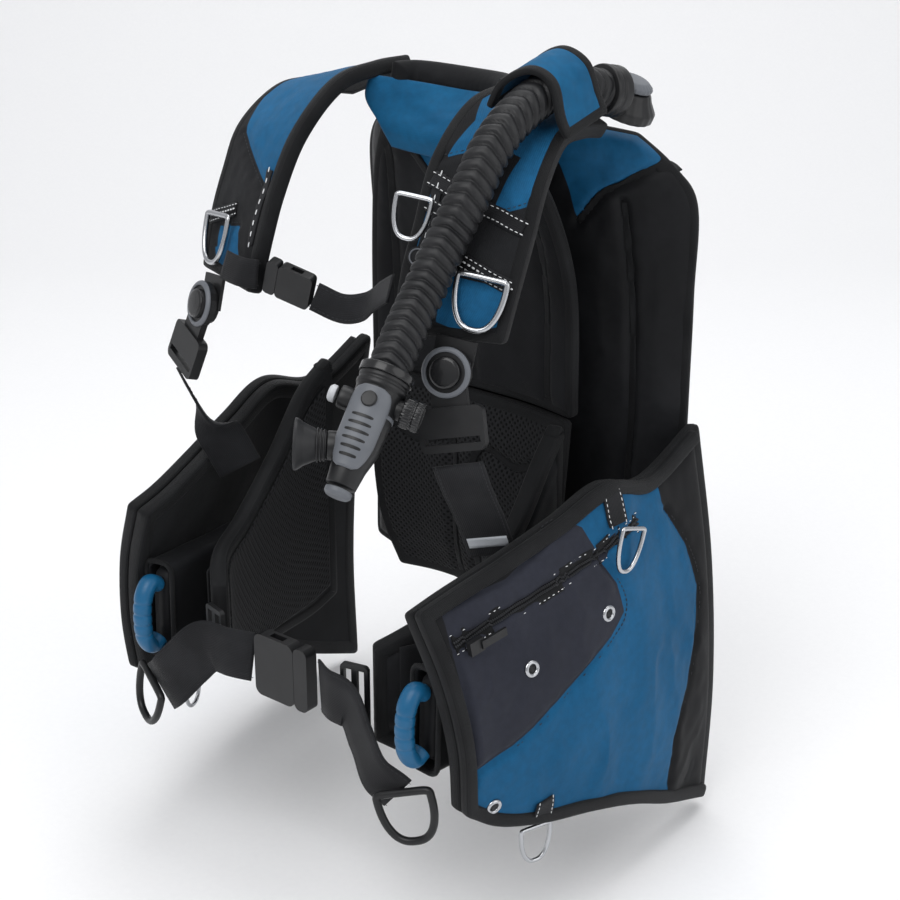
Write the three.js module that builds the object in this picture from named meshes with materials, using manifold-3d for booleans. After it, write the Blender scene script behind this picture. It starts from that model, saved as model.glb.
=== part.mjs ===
// Buoyancy compensator vest for scuba diving.
// Millimetres, +Z up. The wearer faces -Y and the wearer's left arm is on +X.
// The origin is the middle of the face that the tank rests on.
import * as THREE from 'three';
import { mergeVertices } from 'three/addons/utils/BufferGeometryUtils.js';
import Module from 'manifold-3d';

const wasm = await Module();
wasm.setup();

// ---- Driving dimensions ---------------------------------------------------
const TORSO_HALF_WIDTH = 183;       // half width of the back at the armholes
const HIP_HALF_WIDTH = 235;         // half width at the lower rear corners
const SHOULDER_TOP = 330;           // height of the shoulders over the tank seat
const HIP_BOTTOM = -350;            // lowest corner of the side lobes
const LOBE_REACH = 400;             // how far the lobes reach forward of the tank seat
const STRAP_SPACING = 105;          // half distance between the shoulder straps at the neck
const STRAP_WIDTH = 96;             // at the chest; a little less over the shoulder
const STRAP_THICKNESS = 13;
const WEBBING_WIDTH = 50;           // waist and shoulder webbing
const WEBBING_THICKNESS = 2.2;
const CHEST_WEBBING_WIDTH = 25;
const WAIST_HEIGHT = -148;          // middle of the waist belt
const WAIST_FRONT = 352;            // distance from the tank seat to the belt
const GLIDE_SPACING = 82;           // half distance between the two waist strap glides
const AIR_CELL_REAR = -30;          // rear face of the air cell
const AIR_CELL_THICKNESS = 44;
const BACK_PAD_THICKNESS = 26;
const LOBE_THICKNESS = 12;
const POCKET_THICKNESS = 8;
const CUMMERBUND_THICKNESS = 14;
const HOSE_DIAMETER = 35;
const D_RING_WIDTH = 46;
const D_RING_WIRE = 5;
const SMALL_RING_WIDTH = 34;
const SMALL_RING_WIRE = 4;
const PULL_RING_WIDTH = 56;
const TANK_PLATE_HEIGHT = 320;
const TANK_PLATE_WIDTH = 150;
const TANK_PAD_WIDTH = 44;
const TANK_PAD_HEIGHT = 90;
const BAND_HEIGHT = -100;           // middle of the tank band
const BAND_DEPTH = 76;              // how far the slack band hangs behind the plate
const POUCH_WIDTH = 20;             // weight pouch, across the body
const POUCH_HEIGHT = 84;
const POUCH_LENGTH = 170;
const GAP = 0.4;                    // clearance between faces that touch
const CLEARANCE = 2;                // clearance between soft pieces

const WAIST_Y = -WAIST_FRONT;

// ---- Materials --------------------------------------------------------------
const material = (color, roughness, metalness = 0) =>
  new THREE.MeshStandardMaterial({ color, roughness, metalness });
const NYLON_BLACK = material('#17181b', 0.85);
const NYLON_BLUE = material('#14557f', 0.75);
const NYLON_CHARCOAL = material('#2a2b33', 0.8);
const MESH_BLACK = material('#101113', 0.95);
const WEBBING = material('#1b1c1f', 0.7);
const PLASTIC_BLACK = material('#1c1d20', 0.45);
const PLASTIC_GREY = material('#5b5f66', 0.5);
const PLASTIC_BLUE = material('#176a9b', 0.4);
const RUBBER = material('#141517', 0.6);
const STAINLESS = material('#b9bcc0', 0.25, 1);

// ---- Geometry helpers -------------------------------------------------------
const v = (x, y, z) => new THREE.Vector3(x, y, z);
const mix = THREE.MathUtils.lerp;

/** Points spaced evenly along a smooth curve through the given ones. */
function smooth(points, steps) {
  return new THREE.CatmullRomCurve3(points, false, 'centripetal').getPoints(steps);
}

/** A grid of points on the smooth surface through rows of control points. */
function sheet(rows, steps, stepsAcross) {
  const lines = rows.map((row) => smooth(row, stepsAcross));
  const across = Array.from({ length: stepsAcross + 1 }, (_, j) =>
    smooth(lines.map((line) => line[j]), steps));
  return Array.from({ length: steps + 1 }, (_, i) => across.map((line) => line[i]));
}

/** Unit normals of a grid, from the differences between neighbours. */
function normals(grid) {
  const last = grid.length - 1;
  const end = grid[0].length - 1;
  return grid.map((row, i) => row.map((_, j) => {
    const along = grid[Math.min(i + 1, last)][j].clone().sub(grid[Math.max(i - 1, 0)][j]);
    const across = row[Math.min(j + 1, end)].clone().sub(row[Math.max(j - 1, 0)]);
    return along.cross(across).normalize();
  }));
}

/** A BufferGeometry from points and triangles, turned so that its faces point out. */
function solidFrom(points, triangles) {
  let volume = 0;
  for (const [a, b, c] of triangles) {
    volume += points[a].dot(points[b].clone().cross(points[c]));
  }
  const faces = volume > 0 ? triangles : triangles.map(([a, b, c]) => [a, c, b]);
  const geometry = new THREE.BufferGeometry().setFromPoints(points);
  geometry.setIndex(faces.flat());
  return geometry;
}

/**
 * A closed pad that lies between two offsets from a grid.
 * Towards its middle the outer face swells by crown and the inner face by innerCrown.
 */
function pad(grid, inner, outer, crown = 0, innerCrown = 0) {
  const rows = grid.length;
  const columns = grid[0].length;
  const out = normals(grid);
  const points = [];
  const swell = (i, j) => Math.sin((Math.PI * i) / (rows - 1)) * Math.sin((Math.PI * j) / (columns - 1));
  for (const face of [0, 1]) {
    for (let i = 0; i < rows; i += 1) {
      for (let j = 0; j < columns; j += 1) {
        const offset = face ? outer + crown * swell(i, j) : inner - innerCrown * swell(i, j);
        points.push(grid[i][j].clone().addScaledVector(out[i][j], offset));
      }
    }
  }
  const at = (face, i, j) => face * rows * columns + i * columns + j;
  const triangles = [];
  const quad = (a, b, c, d) => triangles.push([a, b, c], [a, c, d]);
  for (let i = 0; i < rows - 1; i += 1) {
    for (let j = 0; j < columns - 1; j += 1) {
      quad(at(1, i, j), at(1, i + 1, j), at(1, i + 1, j + 1), at(1, i, j + 1));
      quad(at(0, i, j), at(0, i, j + 1), at(0, i + 1, j + 1), at(0, i + 1, j));
    }
  }
  for (let i = 0; i < rows - 1; i += 1) {
    quad(at(0, i, 0), at(0, i + 1, 0), at(1, i + 1, 0), at(1, i, 0));
    quad(at(1, i, columns - 1), at(1, i + 1, columns - 1), at(0, i + 1, columns - 1), at(0, i, columns - 1));
  }
  for (let j = 0; j < columns - 1; j += 1) {
    quad(at(1, 0, j), at(1, 0, j + 1), at(0, 0, j + 1), at(0, 0, j));
    quad(at(0, rows - 1, j), at(0, rows - 1, j + 1), at(1, rows - 1, j + 1), at(1, rows - 1, j));
  }
  return solidFrom(points, triangles);
}

/** A flat strap through the given points. Its direction across and its width may change on the way. */
function strap(points, across, width, thickness, steps) {
  const directions = Array.isArray(across) ? across : points.map(() => across);
  const widths = Array.isArray(width) ? width : points.map(() => width);
  const edge = (side) => points.map((point, i) =>
    point.clone().addScaledVector(directions[i].clone().normalize(), (side * widths[i]) / 2));
  const lines = [edge(-1), edge(1)].map((line) => smooth(line, steps));
  return pad(lines[0].map((point, i) => [point, lines[1][i]]), -thickness / 2, thickness / 2);
}

/** A round tube along a curve, closed at both ends. */
function tube(points, diameter, sides, steps) {
  const section = new THREE.Shape();
  section.absarc(0, 0, diameter / 2, 0, 2 * Math.PI);
  return new THREE.ExtrudeGeometry(section, {
    steps,
    curveSegments: sides / 2,
    extrudePath: new THREE.CatmullRomCurve3(points, false, 'centripetal'),
  });
}

/** A round wire ring in the XY plane, bent to an outline given as a function of angle. */
function bentRing(outline, wire, sides = 6, segments = 18) {
  const core = 10;
  const geometry = new THREE.TorusGeometry(core, wire / 2, sides, segments);
  const position = geometry.attributes.position;
  for (let i = 0; i < position.count; i += 1) {
    const angle = Math.atan2(position.getY(i), position.getX(i));
    const offset = Math.hypot(position.getX(i), position.getY(i)) - core;
    const [x, y] = outline(angle);
    position.setXY(i, x + offset * Math.cos(angle), y + offset * Math.sin(angle));
  }
  return geometry;
}

/** A D ring whose straight bar lies on the X axis and whose bow hangs to -Y. */
function dRing(width, depth, wire, segments = 18) {
  const corner = 0.3;
  const barHeight = wire;
  const power = (value) => Math.sign(value) * Math.abs(value) ** corner;
  const half = (width - wire) / 2;
  const outline = (angle) => (Math.sin(angle) > 0
    ? [half * power(Math.cos(angle)), barHeight * power(Math.sin(angle)) - barHeight]
    : [half * Math.cos(angle), (depth - wire) * Math.sin(angle) - barHeight]);
  return bentRing(outline, wire, 6, segments);
}

/**
 * A flat plate with rounded corners, width along X, height along Y, its back on Z = 0.
 * Each slot is [middle x, middle y, width, height], cut right through.
 */
function roundedPlate(width, height, thickness, radius, slots = []) {
  const x = width / 2 - radius;
  const y = height / 2 - radius;
  const shape = new THREE.Shape();
  shape.absarc(x, y, radius, 0, Math.PI / 2);
  shape.absarc(-x, y, radius, Math.PI / 2, Math.PI);
  shape.absarc(-x, -y, radius, Math.PI, 1.5 * Math.PI);
  shape.absarc(x, -y, radius, 1.5 * Math.PI, 2 * Math.PI);
  const plate = new THREE.ExtrudeGeometry(shape, { depth: thickness, bevelEnabled: false, curveSegments: 3 });
  return slots.reduce((solid, [cx, cy, w, h]) =>
    combine(solid, new THREE.BoxGeometry(w, h, 3 * thickness).translate(cx, cy, 0), 'subtract'), plate);
}

/** A body turned round the Z axis from [radius, height] pairs. */
function turned(profile, segments = 16) {
  return new THREE.LatheGeometry(profile.map(([r, z]) => new THREE.Vector2(r, z)), segments)
    .rotateX(Math.PI / 2);
}

/** The mirror image of a geometry on the wearer's other side. */
function mirrored(geometry) {
  const copy = geometry.index ? geometry.toNonIndexed() : geometry.clone();
  const position = copy.attributes.position;
  const points = [];
  for (let i = 0; i < position.count; i += 3) {
    for (const k of [0, 2, 1]) {
      points.push(v(-position.getX(i + k), position.getY(i + k), position.getZ(i + k)));
    }
  }
  return new THREE.BufferGeometry().setFromPoints(points);
}

/** Joins or cuts two closed geometries. */
function combine(first, second, operation) {
  const toManifold = (geometry) => {
    const plain = geometry.clone();
    plain.deleteAttribute('normal');
    plain.deleteAttribute('uv');
    const merged = mergeVertices(plain, 1e-3);
    return new wasm.Manifold(new wasm.Mesh({
      numProp: 3,
      vertProperties: merged.attributes.position.array,
      triVerts: new Uint32Array(merged.index.array),
    }));
  };
  const result = toManifold(first)[operation](toManifold(second)).getMesh();
  const geometry = new THREE.BufferGeometry();
  geometry.setAttribute('position', new THREE.BufferAttribute(result.vertProperties, 3));
  geometry.setIndex(new THREE.BufferAttribute(result.triVerts, 1));
  return geometry;
}

/** Turns and moves a geometry: its Z goes along normal and its Y as near as can be to up. */
function place(geometry, origin, normal, up) {
  const z = normal.clone().normalize();
  const x = up.clone().cross(z).normalize();
  const y = z.clone().cross(x);
  const matrix = new THREE.Matrix4().makeBasis(x, y, z).setPosition(origin);
  return geometry.applyMatrix4(matrix);
}

// ---- The assembly ------------------------------------------------------------
const vest = new THREE.Group();

function add(name, geometry, surface) {
  const mesh = new THREE.Mesh(geometry, surface);
  mesh.name = name;
  vest.add(mesh);
  return mesh;
}

/** Adds a piece on the wearer's left and its mirror image on the right. */
function addPair(name, geometry, surface) {
  add(`${name}_left`, geometry, surface);
  add(`${name}_right`, mirrored(geometry), surface);
}

// ---- Tank side ---------------------------------------------------------------
const PLATE_REAR = -4;              // the rubber pad stands this far proud of the plate
const PLATE_WALL = 9;
const RIB_RISE = 14;
const PLATE_LIFT = 10;              // middle of the plate over the tank seat

function tankPlate() {
  const half = TANK_PLATE_WIDTH / 2;
  const flat = TANK_PAD_WIDTH / 2 + 4;
  const crest = half - 14;
  const rear = PLATE_REAR;
  const front = rear - PLATE_WALL;
  const outline = new THREE.Shape([
    [-half, rear + 6], [-half, front + 6], [-flat, front], [flat, front], [half, front + 6],
    [half, rear + 6], [crest, rear + RIB_RISE], [flat, rear], [-flat, rear], [-crest, rear + RIB_RISE],
  ].map(([x, y]) => new THREE.Vector2(x, y)));
  const body = new THREE.ExtrudeGeometry(outline, { depth: TANK_PLATE_HEIGHT, bevelEnabled: false })
    .translate(0, 0, PLATE_LIFT - TANK_PLATE_HEIGHT / 2);
  const waist = new THREE.BoxGeometry(20, 60, WEBBING_WIDTH + 4);
  const notched = [half, -half].reduce((solid, x) =>
    combine(solid, waist.clone().translate(x + Math.sign(x) * 4, 0, BAND_HEIGHT), 'subtract'), body);
  const gripSlot = new THREE.BoxGeometry(80, 60, 22).translate(0, 0, PLATE_LIFT + TANK_PLATE_HEIGHT / 2 - 26);
  return combine(notched, gripSlot, 'subtract');
}

function tankPad() {
  return new THREE.BoxGeometry(TANK_PAD_WIDTH, -PLATE_REAR - GAP, TANK_PAD_HEIGHT)
    .translate(0, (PLATE_REAR + GAP) / 2, 0);
}

/** The closed outline of the slack tank band, offset outwards. */
function bandOutline(offset) {
  const half = TANK_PLATE_WIDTH / 2 - 3 + offset;
  const front = PLATE_REAR - PLATE_WALL - CLEARANCE - offset;
  const points = [new THREE.Vector2(-half, front), new THREE.Vector2(half, front)];
  const bow = 14;
  for (let i = 0; i <= bow; i += 1) {
    const angle = (Math.PI * i) / bow;
    points.push(new THREE.Vector2(half * Math.cos(angle), 24 + (BAND_DEPTH - 24 + offset) * Math.sin(angle)));
  }
  return points;
}

function tankBand() {
  const shape = new THREE.Shape(bandOutline(WEBBING_THICKNESS));
  shape.holes.push(new THREE.Path(bandOutline(0)));
  return new THREE.ExtrudeGeometry(shape, { depth: WEBBING_WIDTH, bevelEnabled: false })
    .translate(0, 0, BAND_HEIGHT - WEBBING_WIDTH / 2);
}

const CAM_Y = BAND_DEPTH + WEBBING_THICKNESS + 4;
function camBuckle() {
  const frame = roundedPlate(58, 60, 6, 5, [[-14, 0, 10, 52], [4, 0, 6, 52]]);
  return place(frame, v(0, CAM_Y, BAND_HEIGHT), v(0, 1, 0), v(0, 0, 1));
}

function camLever() {
  const lever = roundedPlate(46, 54, 6, 6);
  return place(lever, v(0, CAM_Y + 6 + 1, BAND_HEIGHT), v(0, 1, 0), v(0, 0, 1));
}

/** A grab handle of covered webbing at the top of the back. */
function carryHandle() {
  const top = PLATE_LIFT + TANK_PLATE_HEIGHT / 2 + 90;
  return strap(
    [v(-58, AIR_CELL_REAR + 6, top - 62), v(-46, AIR_CELL_REAR + 22, top - 34),
      v(0, AIR_CELL_REAR + 34, top - 22),
      v(46, AIR_CELL_REAR + 22, top - 34), v(58, AIR_CELL_REAR + 6, top - 62)],
    v(0, 0.5, -0.86), 26, 9, 10);
}

add('backpack_plate', tankPlate(), PLASTIC_BLACK);
add('tank_pad', tankPad(), RUBBER);
add('tank_band', tankBand(), WEBBING);
add('cam_buckle', camBuckle(), PLASTIC_BLACK);
add('cam_lever', camLever(), PLASTIC_BLACK);
add('carry_handle', carryHandle(), RUBBER);

// ---- Air cell and back pads ------------------------------------------------------
const CELL_MIDDLE = AIR_CELL_REAR - AIR_CELL_THICKNESS / 2;

/** The back's outline from the shoulders down: height, drop at the sides, half width and lean forward. */
const BACK_STATIONS = [
  { z: SHOULDER_TOP - 32, drop: 20, half: TORSO_HALF_WIDTH - 53, lean: 40 },
  { z: SHOULDER_TOP - 54, drop: 24, half: TORSO_HALF_WIDTH - 16, lean: 26 },
  { z: SHOULDER_TOP - 98, drop: 4, half: TORSO_HALF_WIDTH, lean: 10 },
  { z: 140, drop: 0, half: TORSO_HALF_WIDTH, lean: 0 },
  { z: 40, drop: 0, half: TORSO_HALF_WIDTH, lean: 0 },
  { z: -60, drop: 0, half: TORSO_HALF_WIDTH, lean: 0 },
  { z: -195, drop: 0, half: TORSO_HALF_WIDTH + 2, lean: 0 },
];
const WRAP = 34;                    // how far the air cell's sides curve back round the tank
const RIM = 7;                      // half the air cell's thickness at its rim

function airCellBack() {
  const rows = BACK_STATIONS.map(({ z, drop, half, lean }) => [-1, -0.7, -0.35, 0, 0.35, 0.7, 1].map((s) =>
    v(s * half, CELL_MIDDLE - lean + (WRAP + 0.6 * lean) * s * s, z - drop * s * s)));
  const swell = AIR_CELL_THICKNESS / 2 - RIM;
  return pad(sheet(rows, 12, 12), -RIM, RIM, swell, swell);
}

const PAD_MIDDLE = AIR_CELL_REAR - AIR_CELL_THICKNESS - CLEARANCE - BACK_PAD_THICKNESS / 2;

/** The padded back that lies against the wearer: height, half width and lean forward. */
const BACK_PAD_STATIONS = [
  { z: SHOULDER_TOP - 46, half: 66, lean: 42 },
  { z: SHOULDER_TOP - 90, half: 92, lean: 22 },
  { z: 160, half: 112, lean: 4 },
  { z: 34, half: 116, lean: 0 },
];
const LUMBAR_STATIONS = [
  { z: 28, half: 112, lean: 4 },
  { z: -50, half: 110, lean: 10 },
  { z: -120, half: 102, lean: 8 },
  { z: -168, half: 84, lean: 2 },
];

/** A back cushion through the given stations, a little hollow so that it follows the wearer's back. */
function backCushion(stations, crown) {
  const hollow = 10;
  const rows = stations.map(({ z, half, lean }) => [-1, -0.55, 0, 0.55, 1].map((s) =>
    v(s * half, PAD_MIDDLE - lean - hollow * s * s * s * s, z)));
  return pad(sheet(rows, 7, 8), -BACK_PAD_THICKNESS / 2, BACK_PAD_THICKNESS / 2 - crown, crown);
}

/** The padded band round the back of the neck, between the shoulder straps. */
const COLLAR_HEIGHT = 28;
const COLLAR_HALF_WIDTH = STRAP_SPACING - 0.375 * STRAP_WIDTH - 9;
function collar() {
  const plan = [[-1, -134], [-0.84, -112], [0, -96], [0.84, -112], [1, -134]];
  const rows = plan.map(([s, y]) => [0, 0.5, 1].map((t) => v(
    s * COLLAR_HALF_WIDTH, y - 6 * t, SHOULDER_TOP - COLLAR_HEIGHT * t + 4 * s * s)));
  return pad(sheet(rows, 12, 3), -8, 8, 2);
}

add('air_cell_back', airCellBack(), NYLON_BLACK);
add('back_pad', backCushion(BACK_PAD_STATIONS, 6), MESH_BLACK);
add('lumbar_pad', backCushion(LUMBAR_STATIONS, 8), MESH_BLACK);
add('collar', collar(), NYLON_BLACK);

// ---- Side lobes, pockets and waistband -------------------------------------------
/** Half the vest's width a share of the way from the armholes down to the hips. */
const sideAt = (share) => mix(TORSO_HALF_WIDTH, HIP_HALF_WIDTH, share);

/** Stations along the lobe from rear to front: distance forward, then top and bottom edges. */
const LOBE_STATIONS = [
  { y: -24, top: 24, bottom: HIP_BOTTOM, xTop: TORSO_HALF_WIDTH + 12, xBottom: HIP_HALF_WIDTH - 13 },
  { y: -104, top: -4, bottom: HIP_BOTTOM + 32, xTop: TORSO_HALF_WIDTH + 9, xBottom: HIP_HALF_WIDTH - 11 },
  { y: -168, top: 12, bottom: -287, xTop: TORSO_HALF_WIDTH + 7, xBottom: HIP_HALF_WIDTH - 13 },
  { y: -222, top: -4, bottom: -270, xTop: TORSO_HALF_WIDTH - 1, xBottom: HIP_HALF_WIDTH - 19 },
  { y: -285, top: -22, bottom: -256, xTop: TORSO_HALF_WIDTH - 14, xBottom: HIP_HALF_WIDTH - 30 },
  { y: -338, top: -35, bottom: -238, xTop: TORSO_HALF_WIDTH - 25, xBottom: HIP_HALF_WIDTH - 42 },
  { y: -LOBE_REACH + 28, top: -42, bottom: -216, xTop: TORSO_HALF_WIDTH - 29, xBottom: HIP_HALF_WIDTH - 47 },
];
const LOBE_BELLY = 14;              // how far the lobe bulges outwards at mid height
const LOWER_DRAW = 18;              // how far the front of the lobe leans back at its foot

const LOBE_SHEET = sheet(LOBE_STATIONS.map(({ y, top, bottom, xTop, xBottom }, i) =>
  [0, 0.33, 0.67, 1].map((s) => v(
    mix(xTop, xBottom, s) + LOBE_BELLY * Math.sin(Math.PI * s),
    y + (LOWER_DRAW * s * i) / (LOBE_STATIONS.length - 1),
    mix(top, bottom, s)))), 15, 8);

/** Part of a grid, between two fractions of its length and of its width. */
function part(grid, [from, to], [left, right]) {
  const rows = grid.length - 1;
  const columns = grid[0].length - 1;
  return grid.slice(Math.round(from * rows), Math.round(to * rows) + 1)
    .map((row) => row.slice(Math.round(left * columns), Math.round(right * columns) + 1));
}

const POCKET_FLOOR = LOBE_THICKNESS / 2 + CLEARANCE;
addPair('lobe', pad(LOBE_SHEET, -LOBE_THICKNESS / 2, LOBE_THICKNESS / 2), NYLON_BLUE);
addPair('pocket', pad(part(LOBE_SHEET, [0.2, 1], [0, 1]), POCKET_FLOOR, POCKET_FLOOR + POCKET_THICKNESS, 4),
  NYLON_CHARCOAL);

/** The padded band that wraps the waist inside the lobes, from the back pad to the belt. */
const BAND_STATIONS = [
  { y: -150, top: 46, bottom: -198, x: 134 },
  { y: -178, top: 24, bottom: -210, x: 138 },
  { y: -222, top: -30, bottom: -214, x: 138 },
  { y: -276, top: -74, bottom: -212, x: 130 },
  { y: -320, top: -88, bottom: -206, x: 113 },
  { y: -343, top: -104, bottom: -190, x: 92 },
];
function cummerbund() {
  const rows = BAND_STATIONS.map(({ y, top, bottom, x }) =>
    [0, 0.5, 1].map((s) => v(x, y, mix(top, bottom, s))));
  return pad(sheet(rows, 10, 4), -CUMMERBUND_THICKNESS / 2, CUMMERBUND_THICKNESS / 2);
}
addPair('cummerbund', cummerbund(), NYLON_BLACK);

// ---- Weight pockets -----------------------------------------------------------------
// The sleeve runs from the middle of its mouth to the middle of its floor.
const SLEEVE_WALL = 3;
const SLEEVE_HALF = POUCH_WIDTH / 2 + SLEEVE_WALL + CLEARANCE;
const POUCH_FRONT = v(sideAt(0.6) - 42.2 - SLEEVE_HALF, -356, WAIST_HEIGHT + 4);
const POUCH_REAR = v(sideAt(0.6) - 28.2 - SLEEVE_HALF, -185, WAIST_HEIGHT - 2);
const POUCH_AXIS = POUCH_FRONT.clone().sub(POUCH_REAR).normalize();
const SLEEVE_LENGTH = POUCH_LENGTH + 6;
const UP = v(0, 0, 1);

function weightSleeve() {
  const width = POUCH_WIDTH + 2 * (SLEEVE_WALL + CLEARANCE);
  const height = POUCH_HEIGHT + 2 * (SLEEVE_WALL + CLEARANCE);
  const outer = roundedPlate(width, height, SLEEVE_LENGTH, 6);
  const inner = roundedPlate(width - 2 * SLEEVE_WALL, height - 2 * SLEEVE_WALL, SLEEVE_LENGTH, 4)
    .translate(0, 0, SLEEVE_WALL);
  const sleeve = combine(outer, inner, 'subtract').translate(0, 0, -SLEEVE_LENGTH);
  return place(sleeve, POUCH_FRONT, POUCH_AXIS, UP);
}

function weightPouch() {
  const body = roundedPlate(POUCH_WIDTH, POUCH_HEIGHT, POUCH_LENGTH, 6);
  return place(body.translate(0, 0, -POUCH_LENGTH - CLEARANCE / 2), POUCH_FRONT, POUCH_AXIS, UP);
}

/** A moulded pull handle that stands in front of the pouch, with a gap for the fingers. */
const HANDLE_THICKNESS = 15;
function weightHandle() {
  const bow = [
    v(0, 27, 4), v(0, 31, 13), v(0, 22, 21), v(0, 0, 24), v(0, -22, 21), v(0, -31, 13), v(0, -27, 4),
  ];
  const grip = tube(bow, HANDLE_THICKNESS, 8, 14).scale(1.25, 1, 1);
  return place(grip, POUCH_FRONT, POUCH_AXIS, UP);
}

addPair('weight_sleeve', weightSleeve(), NYLON_BLACK);
addPair('weight_pouch', weightPouch(), NYLON_BLACK);
addPair('weight_handle', weightHandle(), PLASTIC_BLUE);

// ---- Waist belt ------------------------------------------------------------------------
const GLIDE_Y = WAIST_Y - 4;
const GLIDE_BAR = 4.5;
const BUCKLE_HALF = 38;             // from the middle of the belt to where a buckle half ends

/** A bar buckle at the front of the waistband that the belt turns back through. */
function strapGlide() {
  const frame = roundedPlate(WEBBING_WIDTH + 12, 26, GLIDE_BAR, 4,
    [[0, 6, WEBBING_WIDTH + 3, 7], [0, -6, WEBBING_WIDTH + 3, 7]]);
  return place(frame, v(GLIDE_SPACING, GLIDE_Y, WAIST_HEIGHT), v(0.25, -1, 0), v(1, 0.25, 0));
}

const PULL_NORMAL = v(0.35, -0.93, 0.1);
const PULL_UP = v(-0.35, 0.1, 0.93);
const PULL_RING_PIVOT = v(150, -378, -205);

/** The belt from its buckle half over the glide, then down as the loose end to its pull ring. */
function waistWebbing() {
  const line = [
    v(BUCKLE_HALF + 2, WAIST_Y - 3, WAIST_HEIGHT - 6),
    v(GLIDE_SPACING - 22, GLIDE_Y - 8, WAIST_HEIGHT - 3),
    v(GLIDE_SPACING + 2, GLIDE_Y - 11, WAIST_HEIGHT - 4),
    v(GLIDE_SPACING + 22, GLIDE_Y - 18, WAIST_HEIGHT - 24),
    v(GLIDE_SPACING + 42, GLIDE_Y - 23, WAIST_HEIGHT - 48),
    PULL_RING_PIVOT.clone().add(v(-8, 4, -6)),
  ];
  const loose = v(0.42, -0.12, 0.9);
  return strap(line, [UP, UP, v(0.1, 0, 1), loose, loose, loose], WEBBING_WIDTH - 1, WEBBING_THICKNESS, 14);
}

function pullRing() {
  return place(dRing(PULL_RING_WIDTH, 44, 7), PULL_RING_PIVOT, PULL_NORMAL, PULL_UP);
}

addPair('strap_glide', strapGlide(), PLASTIC_BLACK);
addPair('waist_webbing', waistWebbing(), WEBBING);
addPair('pull_ring', pullRing(), PLASTIC_BLACK);

/** Both halves of a side-release buckle, [socket, prongs], in the XY plane and meeting at X = 0. */
function sideRelease(width, length, thickness) {
  const wall = thickness / 4;
  const shell = roundedPlate(length, width, thickness, width / 8);
  const hollow = new THREE.BoxGeometry(length, width - 4 * wall, thickness - 2 * wall)
    .translate(length / 3, 0, thickness / 2);
  const windows = new THREE.BoxGeometry(length * 0.34, width * 2, thickness - 2 * wall)
    .translate(length * 0.02, 0, thickness / 2);
  const socket = combine(combine(shell, hollow, 'subtract'), windows, 'subtract');
  const reach = length * 0.62;
  const prong = (sign) => new THREE.BoxGeometry(reach, width * 0.17, thickness / 2 - 3 * GAP)
    .translate(length / 2 - reach / 2 + 2, sign * width * 0.24, thickness / 2);
  const head = roundedPlate(length * 0.34, width, thickness, width / 10)
    .translate(length * 0.5 + length * 0.17 + GAP, 0, 0);
  const prongs = combine(combine(head, prong(1), 'add'), prong(-1), 'add');
  return [socket, prongs];
}

const [waistSocket, waistProngs] = sideRelease(WEBBING_WIDTH + 10, 46, 13).map((half) =>
  place(half.translate(-10, 0, -6), v(0, WAIST_Y - 2, WAIST_HEIGHT - 6), v(0, -1, 0), UP));
add('waist_buckle_socket', waistSocket, PLASTIC_BLACK);
add('waist_buckle_prongs', waistProngs, PLASTIC_BLACK);

// ---- Shoulder straps ----------------------------------------------------------------------
const STRAP_LINE = [
  v(STRAP_SPACING, -100, SHOULDER_TOP - 19), v(STRAP_SPACING + 4, -140, SHOULDER_TOP - 15),
  v(STRAP_SPACING + 8, -185, SHOULDER_TOP - 18), v(STRAP_SPACING + 14, -228, SHOULDER_TOP - 50),
  v(STRAP_SPACING + 17, -250, 240), v(STRAP_SPACING + 17, -266, 205), v(STRAP_SPACING + 17, -281, 160),
];
// The strap slopes with the shoulder at the top and faces forward and outward on the chest.
const SHOULDER_SLOPE = v(0.88, 0, -0.4);
const CHEST_TURN = v(0.94, 0.33, 0);
const STRAP_ACROSS = STRAP_LINE.map((_, i) =>
  SHOULDER_SLOPE.clone().lerp(CHEST_TURN, Math.min(1, i / 4)));
const STRAP_FACE = v(0.33, -0.9, 0.28).normalize();
const STRAP_WIDTHS = STRAP_LINE.map((_, i) => STRAP_WIDTH * [0.8, 0.84, 0.92, 1, 1, 1, 0.94][i]);

addPair('shoulder_strap', strap(STRAP_LINE, STRAP_ACROSS, STRAP_WIDTHS, STRAP_THICKNESS, 16), NYLON_BLUE);

/** A point in front of a place on the shoulder strap. */
const strapPoint = (x, y, z, proud) => v(x, y, z).addScaledVector(STRAP_FACE, STRAP_THICKNESS / 2 + proud);
const STRAP_DOWN = v(0, -0.36, -0.93);
const strapUp = STRAP_DOWN.clone().negate();

const D_RING_PIVOT = strapPoint(STRAP_SPACING - 12 + STRAP_WIDTH / 2, -255, 206, D_RING_WIRE + 5);
const shoulderRing = dRing(D_RING_WIDTH, 42, D_RING_WIRE);
addPair('shoulder_d_ring', place(shoulderRing, D_RING_PIVOT, STRAP_FACE, strapUp), STAINLESS);

const CHEST_RING_PIVOT = strapPoint(STRAP_SPACING - 3 - STRAP_WIDTH / 4, -262, 262, SMALL_RING_WIRE + 6);
const chestRing = dRing(SMALL_RING_WIDTH, 34, SMALL_RING_WIRE);
add('chest_d_ring', place(chestRing, CHEST_RING_PIVOT, STRAP_FACE, strapUp), STAINLESS);

// Swivel buckles at the foot of each strap: a round base, a turning body and the webbing below it.
const SWIVEL_CENTRE = v(STRAP_SPACING + 31, -300, 138);
const SWIVEL_RADIUS = 20;
const SWIVEL_BASE = 5;
const SWIVEL_AXIS = STRAP_FACE;
const SWIVEL_DOWN = v(0.22, -0.02, -0.97);

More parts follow.
